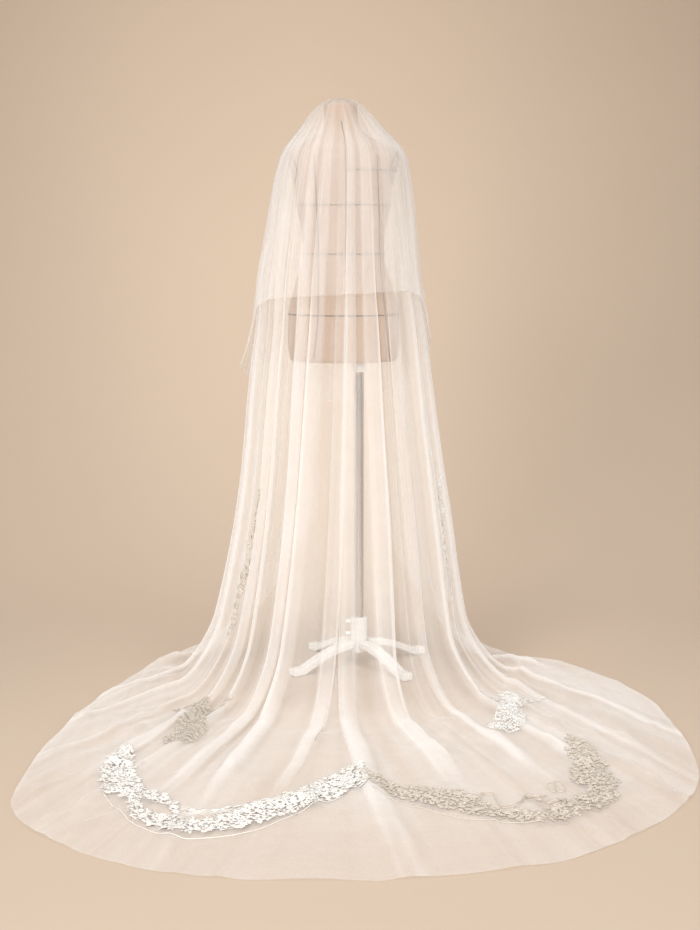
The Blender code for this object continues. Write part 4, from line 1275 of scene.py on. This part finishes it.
@dataclass
class TrainLace:
    """The two bands and two motifs on the train, and the two strips on the sides."""

    tier: LongTier
    silver: bpy.types.Material
    # Champagne copy of the silver-white lace, darkened as painted shade
    painted_shade_lace: bpy.types.Material
    pearl: bpy.types.Material
    glint: bpy.types.Material
    sprig_room: float = 0.40
    chip_room: float = 0.20

    def places(self, phi: np.ndarray, share: np.ndarray) -> np.ndarray:
        """Points of the floor, in the row frame, at angles and shares of the way from bend to hem."""
        return (self.tier.plain(phi, np.zeros(len(phi)), share) + SHIFT)[:, :2]

    def in_bands(self, phi: np.ndarray, t: np.ndarray) -> np.ndarray:
        """Points of the floor at angles and shares of the band's width, from its inner edge."""
        inner, outer = (curve_through(BANDS, c, phi) for c in (1, 2))
        return self.places(phi, inner + (outer - inner) * t)

    def in_band(self, phi: float, t: float) -> np.ndarray:
        """One such point."""
        return self.in_bands(np.array([phi]), np.array([t]))[0]

    def heading(self, phi: float, t: float) -> float:
        """Direction of the band at a place, in degrees."""
        step = self.in_band(phi + 0.5, t) - self.in_band(phi - 0.5, t)
        return math.degrees(math.atan2(step[1], step[0]))

    def fill(self, lace: Embroidery, plan: BandPlan, size: tuple[float, float], tries: int, chips: int) -> None:
        """Fill the solid part of a band with sprigs that just touch, then with small petals between them."""
        rng = np.random.default_rng(lace.seed)
        solid = np.array(plan.solid)
        count = tries + chips
        phi = rng.uniform(plan.first, plan.last, count)
        t = rng.uniform(-0.45, 1.15, count)
        turn = rng.uniform(0.0, 360.0, count)
        small = np.arange(count) >= tries
        width = rng.uniform(size[0], size[1], count) * np.where(small, 0.62, 1.0 - 0.40 * np.arange(count) / tries)
        scallop = 0.06 * np.sin(phi * 2.3) + 0.04 * np.sin(phi * 5.1)
        low, high = (curve_through(solid, c, phi) + scallop for c in (1, 2))
        spots = self.in_bands(phi, t)
        keep = (t >= low) & (t <= high)
        for place in plan.bare:
            keep &= ~self.inside(place, spots)
        taken = np.empty((0, 3))
        stock = (Sprig.ROSE, Sprig.DAISY, Sprig.ROSE, Sprig.BUD, Sprig.LEAF, Sprig.LEAF, Sprig.BUD, Sprig.RING)
        for index in np.flatnonzero(keep):
            room = self.chip_room if small[index] else self.sprig_room
            gap = ((taken[:, :2] - spots[index]) ** 2).sum(axis=1)
            if np.any(gap < (room * (width[index] + taken[:, 2])) ** 2):
                continue
            taken = np.vstack([taken, (*spots[index], width[index] * (0.55 if small[index] else 1.0))])
            kind = (Sprig.CHIP, Sprig.CHIP, Sprig.BEAD)[index % 3] if small[index] else stock[index % len(stock)]
            lace.put(kind, *spots[index], width[index] * (0.25 if kind is Sprig.BEAD else 1.0), turn[index])

    def inside(self, place: tuple[float, float, float, float], spots: np.ndarray) -> np.ndarray:
        """Which points of the floor lie in a bare place."""
        phi, t, length, width = place
        away = spots - self.in_band(phi, t)
        turn = math.radians(self.heading(phi, t))
        x = away[:, 0] * math.cos(turn) + away[:, 1] * math.sin(turn)
        y = away[:, 1] * math.cos(turn) - away[:, 0] * math.sin(turn)
        return (x / length) ** 2 + (y / width) ** 2 < 1.0

    def arcs(
        self, lace: Embroidery, phi: float, t: float, radii: tuple[float, ...], turn: float, sweep: float
    ) -> None:
        """Lay a nest of arcs round a place of the band."""
        middle = self.in_band(phi, t)
        base = math.radians(self.heading(phi, t) + turn)
        for radius in radii:
            angle = base + np.radians(np.linspace(-sweep / 2.0, sweep / 2.0, 18))
            lace.run(oval(middle, radius, radius, angle), lace.cord)

    def build(self) -> list[bpy.types.Object]:
        """Build all six pieces."""
        return [self.left_band(), self.right_band(), *self.motifs(), *self.strips()]

    def floor(self) -> Chart:
        """The board that lies on the floor."""
        return Chart(Vector((0, 0, 0)), Vector((1, 0, 0)), Vector((0, 1, 0)), Vector((0, 0, 1)))

    def cord(self, lace: Embroidery, points: tuple[tuple[float, float], ...], radius: float, steps: int = 60) -> None:
        """Lay a cord through points of the floor, in the row frame."""
        lace.run(smooth_path(np.array(points), steps), radius)

    def left_band(self) -> bpy.types.Object:
        """Silver-white band on the left of the train."""
        lace = Embroidery("lace_train_left_work", self.silver, self.glint, Slot.SILVER_WHITE, 5)
        self.fill(lace, LEFT_PLAN, (0.0125, 0.0205), 9000, 9000)
        self.arcs(lace, -21.6, 0.40, (0.024, 0.033, 0.042, 0.051, 0.060), 90.0, 150.0)
        self.arcs(lace, -17.2, 0.32, (0.018, 0.027, 0.036), 80.0, 120.0)
        self.arcs(lace, -26.2, 0.16, (0.016, 0.025, 0.034), 60.0, 130.0)
        for phi, t, turn in ((-24.0, -0.02, 20.0), (-19.2, 0.02, -15.0), (-17.4, -0.06, 30.0), (-15.6, -0.02, 10.0)):
            u, v = self.in_band(phi, t)
            lace.put(Sprig.LEAF, u, v, 0.026, self.heading(phi, t) + turn)
            lace.put(Sprig.BUD, u + 0.012, v + 0.006, 0.018, self.heading(phi, t) - turn)
        self.cord(lace, LEFT_EDGE, 0.0010, 120)
        return lace.build(self.floor(), self.tier.tree, "lace_train_left")

    def right_band(self) -> bpy.types.Object:
        """Band on the right of the train, in champagne: the silver-white lace darkened as painted shade."""
        lace = Embroidery("lace_train_right_work", self.painted_shade_lace, self.glint, Slot.PAINTED_SHADE_LACE, 9)
        self.fill(lace, RIGHT_PLAN, (0.0115, 0.0200), 9000, 5000)
        for drop in (0.0, 0.015):
            self.cord(lace, tuple((x, y - drop) for x, y in WAVE), 0.0012, 70)
            self.cord(lace, tuple((x, y - drop * 1.3) for x, y in WAVE_LEAD), 0.0010, 40)
        for x, y, wide, deep in ((0.447, -0.428, 0.010, 0.034), (0.466, -0.420, 0.012, 0.040)):
            lace.run(oval((x, y), wide, deep, np.linspace(0.0, 2.0 * math.pi, 25)), 0.0011)
        for x, y, size, turn in LOOSE_LEAVES:
            lace.put(Sprig.LEAF, x, y, size, turn)
        self.cord(lace, RIGHT_EDGE, 0.0009, 110)
        return lace.build(self.floor(), self.tier.tree, "lace_train_right")

    def spray(self, lace: Embroidery, middle: np.ndarray, lead: float, size: float, seed: int) -> None:
        """A long round flower of small petals and beads, with a shorter one beyond it and leaves beside it."""
        rng = np.random.default_rng(seed)
        ahead = np.array([math.cos(math.radians(lead)), math.sin(math.radians(lead))])
        beside = np.array([-ahead[1], ahead[0]])
        kinds = (Sprig.LEAF, Sprig.PEARLS, Sprig.BUD, Sprig.LEAF, Sprig.BEAD)
        for centre, wide, deep, rings in ((0.0, 1.0, 2.9, 8), (4.9, 0.62, 1.9, 5), (-2.4, 0.45, 1.0, 3)):
            shift = beside * (0.0 if centre >= 0.0 else 1.0) * size
            for ring in range(rings + 1):
                for k in range(max(1, 6 * ring)):
                    turn = 2.0 * math.pi * (k + rng.uniform(-0.2, 0.2)) / max(1, 6 * ring)
                    out = ring / rings * rng.uniform(0.88, 1.08)
                    away = ahead * (centre + deep * out * math.cos(turn)) + beside * wide * out * math.sin(turn)
                    u, v = middle + shift + size * away
                    kind = kinds[(k + ring) % 5]
                    lace.put(kind, u, v, size * (0.12 if kind is Sprig.BEAD else 0.30), math.degrees(turn) + lead)
        for stem in range(5):
            bend = lead - 8.0 + 4.0 * stem + rng.uniform(-4.0, 4.0)
            t = np.linspace(0.35, 1.0, 22)
            angle = np.radians(bend + 20.0 * (t - 0.3) * (1.0 if stem % 2 else -1.0))
            reach = size * rng.uniform(4.6, 6.2)
            u, v = middle[0] + reach * t * np.cos(angle), middle[1] + reach * t * np.sin(angle)
            lace.run(flat_path(u, v), lace.cord)
            for k in range(2, 22, 2):
                away = angle[k] + math.radians(40.0 if k % 4 else -40.0)
                leaf_u, leaf_v = u[k] + 0.007 * math.cos(away), v[k] + 0.007 * math.sin(away)
                lace.put(Sprig.LEAF, leaf_u, leaf_v, 0.016, math.degrees(away))
            lace.put(Sprig.DAISY, u[-1], v[-1], 0.016, 0.0)

    def motifs(self) -> list[bpy.types.Object]:
        """Left motif in painted-shade champagne, silver-white motif on the right, near the foot of the wall."""
        left = Embroidery("lace_motif_left_work", self.painted_shade_lace, self.glint, Slot.PAINTED_SHADE_LACE, 3)
        self.spray(left, np.array((-0.466, 0.060)), 87.5, 0.040, 31)
        right = Embroidery("lace_motif_right_work", self.silver, self.pearl, Slot.SILVER_WHITE, 4)
        self.spray(right, np.array((0.398, 0.160)), 84.9, 0.039, 32)
        board = self.floor()
        return [
            left.build(board, self.tier.tree, "lace_motif_left"),
            right.build(board, self.tier.tree, "lace_motif_right"),
        ]

    def strips(self) -> list[bpy.types.Object]:
        """Long sprays up the sides of the wall."""
        made = []
        for name, phi, low, high, finish, bead, slot in (
            # The left strip's champagne tone is painted shade on the silver-white lace
            ("lace_side_left", -60.5, 0.14, 0.58, self.painted_shade_lace, self.glint, Slot.PAINTED_SHADE_LACE),
            ("lace_side_right", 66.0, 0.24, 0.60, self.silver, self.pearl, Slot.SILVER_WHITE),
        ):
            at = np.array([phi])
            slant = 10.0 if phi < 0.0 else 7.0
            foot = self.tier.ring(at, np.array([low]))[0] + SHIFT
            head = self.tier.ring(at + slant, np.array([high]))[0] + SHIFT
            up = Vector(head - foot).normalized()
            step = self.tier.ring(at + 0.5, np.array([low]))[0] - self.tier.ring(at - 0.5, np.array([low]))[0]
            out = Vector(step).cross(up).normalized()
            across = up.cross(out).normalized()
            board = Chart(Vector(foot), across, up, out, reach=0.12)
            lace = Embroidery(f"{name}_work", finish, bead, slot, 6)
            self.climb(lace, float(np.linalg.norm(head - foot)), len(name))
            made.append(lace.build(board, self.tier.tree, name))
        return made

    def climb(self, lace: Embroidery, length: float, seed: int) -> None:
        """A climbing stem with leaves, buds and small flowers."""
        rng = np.random.default_rng(seed)
        v = np.linspace(0.0, length, 60)
        u = 0.007 * np.sin(v * 34.0)
        lace.run(flat_path(u, v), lace.cord)
        for k in range(2, 60, 2):
            side = 1.0 if k % 4 else -1.0
            thin = 0.65 + 0.35 * math.sin(math.pi * k / 60.0)
            turn = 90.0 - side * rng.uniform(30.0, 62.0)
            lace.put(Sprig.LEAF, u[k] + side * 0.008, v[k], 0.019 * thin, turn)
            if k % 6 == 0:
                lace.put(Sprig.DAISY, u[k] + side * 0.013 * thin, v[k] + 0.006, 0.021 * thin, turn)
            if k % 4 == 0:
                lace.put(Sprig.PEARLS, u[k] - side * 0.011, v[k] + 0.004, 0.014 * thin, turn)


def flat_path(u: np.ndarray, v: np.ndarray) -> np.ndarray:
    """Points by 3 at height 0, from the two coordinates of a flat path."""
    return np.stack([u, v, np.zeros(len(u))], axis=-1)


def oval(middle: tuple[float, float], wide: float, deep: float, turn: np.ndarray) -> np.ndarray:
    """Points by 3 at height 0 round an oval, at angles in radians."""
    return flat_path(middle[0] + wide * np.cos(turn), middle[1] + deep * np.sin(turn))


def smooth_path(knots: np.ndarray, steps: int) -> np.ndarray:
    """A smooth flat path through knots.

    Args:
        knots: Points by 2.
        steps: Number of points along it.

    Returns:
        Points by 3, at height 0.
    """
    keys = run_along(knots)
    at = np.linspace(0.0, keys[-1], steps)
    slopes = np.gradient(knots, keys, axis=0)
    i = np.clip(np.searchsorted(keys, at, side="right") - 1, 0, len(keys) - 2)
    span = (keys[i + 1] - keys[i])[:, None]
    t = (at - keys[i])[:, None] / span
    return flat_path(*hermite(knots[i], knots[i + 1], span * slopes[i], span * slopes[i + 1], t).T)


@dataclass(frozen=True)
class Lamp:
    """One soft square light.

    Args:
        name: Its name.
        place: Where it hangs.
        aim: The point it faces.
        size: Side of the square, in metres.
        power: In watts.
        colour: Its colour.
        spread: How wide its beam is, in degrees.
    """

    name: str
    place: tuple[float, float, float]
    aim: tuple[float, float, float]
    size: float
    power: float
    colour: tuple[float, float, float]
    spread: float

    def hang(self) -> None:
        """Add the light to the scene."""
        lamp = bpy.data.lights.new(self.name, "AREA")
        lamp.shape = "SQUARE"
        lamp.size = self.size
        lamp.energy = self.power
        lamp.color = self.colour
        lamp.spread = math.radians(self.spread)
        obj = bpy.data.objects.new(self.name, lamp)
        obj.location = self.place
        obj.rotation_euler = (Vector(self.aim) - Vector(self.place)).to_track_quat("-Z", "Y").to_euler()
        obj.visible_camera = False
        bpy.context.scene.collection.objects.link(obj)


WARM = (1.0, 0.98, 0.955)
COOL = (0.97, 0.985, 1.0)
LAMPS = (
    Lamp("key", (-2.6, -4.9, 2.5), (0.0, 0.3, 1.1), 2.6, 96.0, WARM, 110.0),
    Lamp("fill", (3.1, -4.6, 2.2), (0.0, 0.3, 0.7), 2.6, 50.0, WARM, 110.0),
    Lamp("top", (-0.4, -2.4, 8.0), (0.0, -0.7, 0.0), 5.0, 73.0, COOL, 70.0),
    Lamp("left_edge", (-3.0, 1.0, 1.5), (0.0, 0.7, 0.9), 1.4, 5.0, COOL, 75.0),
    Lamp("right_edge", (3.0, 1.0, 1.5), (0.0, 0.7, 0.9), 1.4, 5.0, COOL, 75.0),
    Lamp("wall", (-0.45, 1.2, 2.9), (-0.3, 3.4, 1.5), 1.2, 21.0, WARM, 120.0),
)


@dataclass
class Studio:
    """Pale sweep of floor and wall, soft lights, and the camera.

    The wall is clear from behind, so that it never hides the veil, and a floor runs on under it.
    """

    paper: Colour = (0.575, 0.458, 0.355, 1.0)
    past_sweep: Colour = (0.62, 0.50, 0.40, 1.0)
    air_strength: float = 0.29
    floor_from: float = -8.0
    floor_to: float = 1.5
    bend: float = 2.6
    wall: float = 4.0
    half_width: float = 9.0
    lens: float = 69.37
    place: tuple[float, float, float] = (-0.0395, -4.5928, 1.3743)
    tilt: float = 7.942

    def build(self) -> None:
        """Build the studio."""
        self.sweep()
        for lamp in LAMPS:
            lamp.hang()
        self.air()
        self.camera()

    def sweep(self) -> None:
        """The floor that bends up into a wall, and the floor that runs on under it."""
        mesh = bmesh.new()
        bmesh.ops.create_grid(mesh, x_segments=2, y_segments=60, size=1.0)
        for vert in mesh.verts:
            t = (vert.co.y + 1.0) / 2.0
            if t < 0.5:
                y, z = self.floor_from + (self.floor_to - self.floor_from) * t / 0.5, 0.0
            else:
                bend = min((t - 0.5) / 0.3, 1.0) * math.pi / 2.0
                y, z = self.floor_to + self.bend * math.sin(bend), self.bend * (1.0 - math.cos(bend))
                z += max(t - 0.8, 0.0) / 0.2 * self.wall
            vert.co = Vector((vert.co.x * self.half_width, y, z - 0.0010))
        beyond = Matrix.Translation((0.0, self.floor_to + self.half_width - 0.1, -0.0014))
        bmesh.ops.create_grid(mesh, x_segments=1, y_segments=1, size=self.half_width, matrix=beyond)
        data = bpy.data.meshes.new("sweep")
        mesh.to_mesh(data)
        mesh.free()
        data.shade_smooth()
        data.materials.append(self.sweep_paper())
        sweep = bpy.data.objects.new("sweep", data)
        bpy.context.scene.collection.objects.link(sweep)

    def sweep_paper(self) -> bpy.types.Material:
        """Matt paper, clear from behind."""
        kit = NodeKit("sweep_paper")
        place = kit.add("ShaderNodeTexCoord").outputs["Object"]
        noise = kit.add("ShaderNodeTexNoise", in_0=place, in_2=1.4, in_3=2.0)
        body = kit.body(base_color=kit.blend(noise.outputs[0], self.paper, times(self.paper, 0.97)), roughness=0.9)
        behind = kit.add("ShaderNodeNewGeometry").outputs["Backfacing"]
        clear = kit.add("ShaderNodeBsdfTransparent").outputs[0]
        return kit.finish(kit.add("ShaderNodeMixShader", in_0=behind, in_1=body, in_2=clear).outputs[0])

    def air(self) -> None:
        """Soft light from all round, and the plain colour seen past the sweep."""
        world = bpy.data.worlds.new("studio_air")
        world.use_nodes = True
        nodes, links = world.node_tree.nodes, world.node_tree.links
        air = nodes["Background"]
        air.inputs[0].default_value = (*WARM, 1.0)
        air.inputs[1].default_value = self.air_strength
        seen = nodes.new("ShaderNodeBackground")
        seen.inputs[0].default_value = self.past_sweep
        mixed = nodes.new("ShaderNodeMixShader")
        links.new(nodes.new("ShaderNodeLightPath").outputs["Is Camera Ray"], mixed.inputs[0])
        links.new(air.outputs[0], mixed.inputs[1])
        links.new(seen.outputs[0], mixed.inputs[2])
        links.new(mixed.outputs[0], nodes["World Output"].inputs["Surface"])
        bpy.context.scene.world = world
        bpy.context.scene.view_settings.view_transform = "Standard"

    def camera(self) -> None:
        """The camera of the photo's view."""
        camera = bpy.data.cameras.new("photo_view")
        camera.lens = self.lens
        camera.sensor_width = 36.0
        seat = bpy.data.objects.new("photo_view", camera)
        seat.location = self.place
        seat.rotation_euler = Euler((math.radians(90.0 - self.tilt), 0.0, 0.0))
        bpy.context.scene.collection.objects.link(seat)
        bpy.context.scene.camera = seat


LONG_FOLDS = (
    Fold(-153.0, -153.0, -153.0, 0.014, 0.70, 1.2, 0.3, 1.00, 0.30, 0.50),
    Fold(-136.0, -136.0, -136.0, 0.015, 0.85, 1.6, -0.4, 1.00, 0.40, 0.60),
    Fold(-118.0, -118.0, -117.0, 0.016, 0.90, 1.4, 0.3, 0.80, 0.60, 0.70),
    Fold(-103.0, -101.0, -102.0, 0.017, 0.90, 1.8, -0.3, 0.60, 0.80, 0.80),
    Fold(-88.0, -85.0, -90.0, 0.018, 1.00, 1.6, 0.5, 1.05, 1.00, 1.00),
    Fold(-75.0, -71.0, -78.0, 0.018, 0.90, 1.8, -0.5, 1.00, 0.50, 0.60),
    Fold(-61.0, -59.0, -67.0, 0.014, 0.55, 1.2, 0.3, 0.45, 0.20, 0.30),
    Fold(-50.0, -49.0, -52.0, 0.020, 1.00, 1.9, 0.6, 0.80, 0.45, 0.95),
    Fold(-39.0, -40.0, -43.0, 0.014, 0.75, 1.6, -0.5, 0.75, 0.15, 0.45),
    Fold(-28.0, -31.0, -33.0, 0.018, 0.95, 1.7, 0.5, 0.74, 1.00, 0.75),
    Fold(-13.0, -23.0, -22.0, 0.016, 0.90, 1.9, -0.6, 0.66, 0.75, 1.00),
    Fold(1.0, -8.0, -12.0, 0.013, 0.70, 1.8, 0.5, 0.62, 0.20, 0.70),
    Fold(8.0, 2.0, 4.0, 0.018, 1.00, 1.8, -0.4, 1.02, 1.00, 1.00),
    Fold(19.5, 18.0, 16.0, 0.019, 1.00, 2.1, 0.5, 0.62, 1.00, 1.00),
    Fold(31.0, 29.0, 27.0, 0.012, 0.40, 1.0, -0.3, 0.35, 0.10, 0.20),
    Fold(41.0, 38.5, 35.0, 0.016, 0.95, 1.9, -0.6, 0.68, 0.35, 0.85),
    Fold(55.0, 54.0, 48.0, 0.017, 0.95, 1.8, 0.4, 0.88, 0.40, 0.70),
    Fold(66.0, 66.0, 62.0, 0.013, 0.50, 1.2, -0.3, 0.50, 0.20, 0.35),
    Fold(77.0, 77.0, 74.0, 0.018, 0.90, 1.7, 0.5, 0.95, 0.60, 0.75),
    Fold(89.0, 87.0, 86.0, 0.018, 1.00, 1.6, -0.5, 1.05, 1.00, 1.00),
    Fold(102.0, 98.0, 96.0, 0.017, 0.90, 1.6, 0.3, 0.70, 0.80, 0.70),
    Fold(117.0, 117.0, 116.0, 0.016, 0.90, 1.5, -0.3, 1.00, 0.50, 0.60),
    Fold(131.0, 131.0, 131.0, 0.015, 0.85, 1.5, 0.4, 1.00, 0.40, 0.60),
    Fold(145.0, 145.0, 145.0, 0.014, 0.70, 1.2, -0.3, 1.00, 0.30, 0.50),
)

SHORT_FOLDS = (
    Fold(-160.0, -160.0, -158.0, 0.016, 0.9, 1.4, 0.3),
    Fold(-136.0, -136.0, -134.0, 0.016, 0.9, 1.5, -0.4),
    Fold(-114.0, -114.0, -112.0, 0.016, 1.0, 1.6, 0.4),
    Fold(-94.0, -94.0, -95.0, 0.015, 0.6, 1.2, -0.3),
    Fold(-72.0, -72.0, -74.0, 0.014, 0.6, 1.2, 0.3),
    Fold(-52.0, -52.0, -54.0, 0.014, 0.9, 1.8, 0.5),
    Fold(-33.0, -33.0, -35.0, 0.013, 0.7, 1.6, -0.4),
    Fold(-14.0, -14.0, -15.0, 0.013, 0.9, 1.8, 0.5),
    Fold(5.0, 5.0, 4.0, 0.013, 1.0, 1.9, -0.4),
    Fold(24.0, 24.0, 25.0, 0.013, 0.9, 1.9, 0.5),
    Fold(46.0, 46.0, 47.0, 0.014, 1.0, 1.8, -0.5),
    Fold(68.0, 68.0, 70.0, 0.014, 0.8, 1.5, 0.4),
    Fold(92.0, 92.0, 93.0, 0.015, 0.4, 1.2, -0.2),
    Fold(114.0, 114.0, 113.0, 0.016, 1.0, 1.6, 0.4),
    Fold(137.0, 137.0, 135.0, 0.016, 0.9, 1.5, -0.4),
    Fold(160.0, 160.0, 158.0, 0.016, 0.9, 1.4, 0.3),
)


def main() -> None:
    """Build the studio and every piece of the veil."""
    for obj in list(bpy.data.objects):
        bpy.data.objects.remove(obj, do_unlink=True)
    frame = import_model()
    Studio().build()
    tulle = TulleFinish().make()
    enamel = PlainFinish("white_enamel", (0.82, 0.81, 0.79, 1.0), 0.34, coat=0.3, grain=40.0, vary=0.03).make()
    steel = PlainFinish(
        "brushed_steel", (0.58, 0.51, 0.46, 1.0), 0.26, metallic=1.0, grain=10.0, vary=0.65, stretch=(16.0, 16.0, 0.05)
    ).make()
    tape = PlainFinish("style_tape", (0.11, 0.07, 0.045, 1.0), 0.8).make()
    silver = PlainFinish("silver_white_lace", (0.86, 0.845, 0.815, 1.0), 0.45, grain=700.0, vary=0.08).make()
    # Champagne: the silver-white lace darkened and yellowed as painted shade
    painted_shade_lace = PlainFinish("champagne_lace", (0.68, 0.61, 0.53, 1.0), 0.45, grain=700.0, vary=0.12).make()
    tier = LongTier(folds=LONG_FOLDS, between=18, seed=11, creases=110, material=tulle)
    long_obj = tier.build()
    short_obj = ShortTier(folds=SHORT_FOLDS, between=22, seed=23, creases=70, material=tulle).build()
    DressForm(cloth=WovenFinish().make(), tape=tape).build()
    pearl = PlainFinish("pearl_bead", (0.92, 0.92, 0.91, 1.0), 0.16, coat=0.6, grain=300.0, vary=0.04).make()
    glint = PlainFinish("silver_bead", (0.66, 0.62, 0.56, 1.0), 0.22, metallic=0.75, grain=300.0, vary=0.10).make()
    TrainLace(tier, silver, painted_shade_lace, pearl, glint).build()
    finishes = {Slot.STEEL: steel, Slot.ENAMEL: enamel}
    for name, node in frame["nodes"].items():
        if node.hide_render:
            continue
        slot = Slot.STEEL if name == "pole" else Slot.ENAMEL
        node.data.materials.clear()
        node.data.materials.append(finishes[slot])


if __name__ == "__main__":
    logging.basicConfig(level=logging.INFO, format="%(asctime)s %(message)s")
    main()
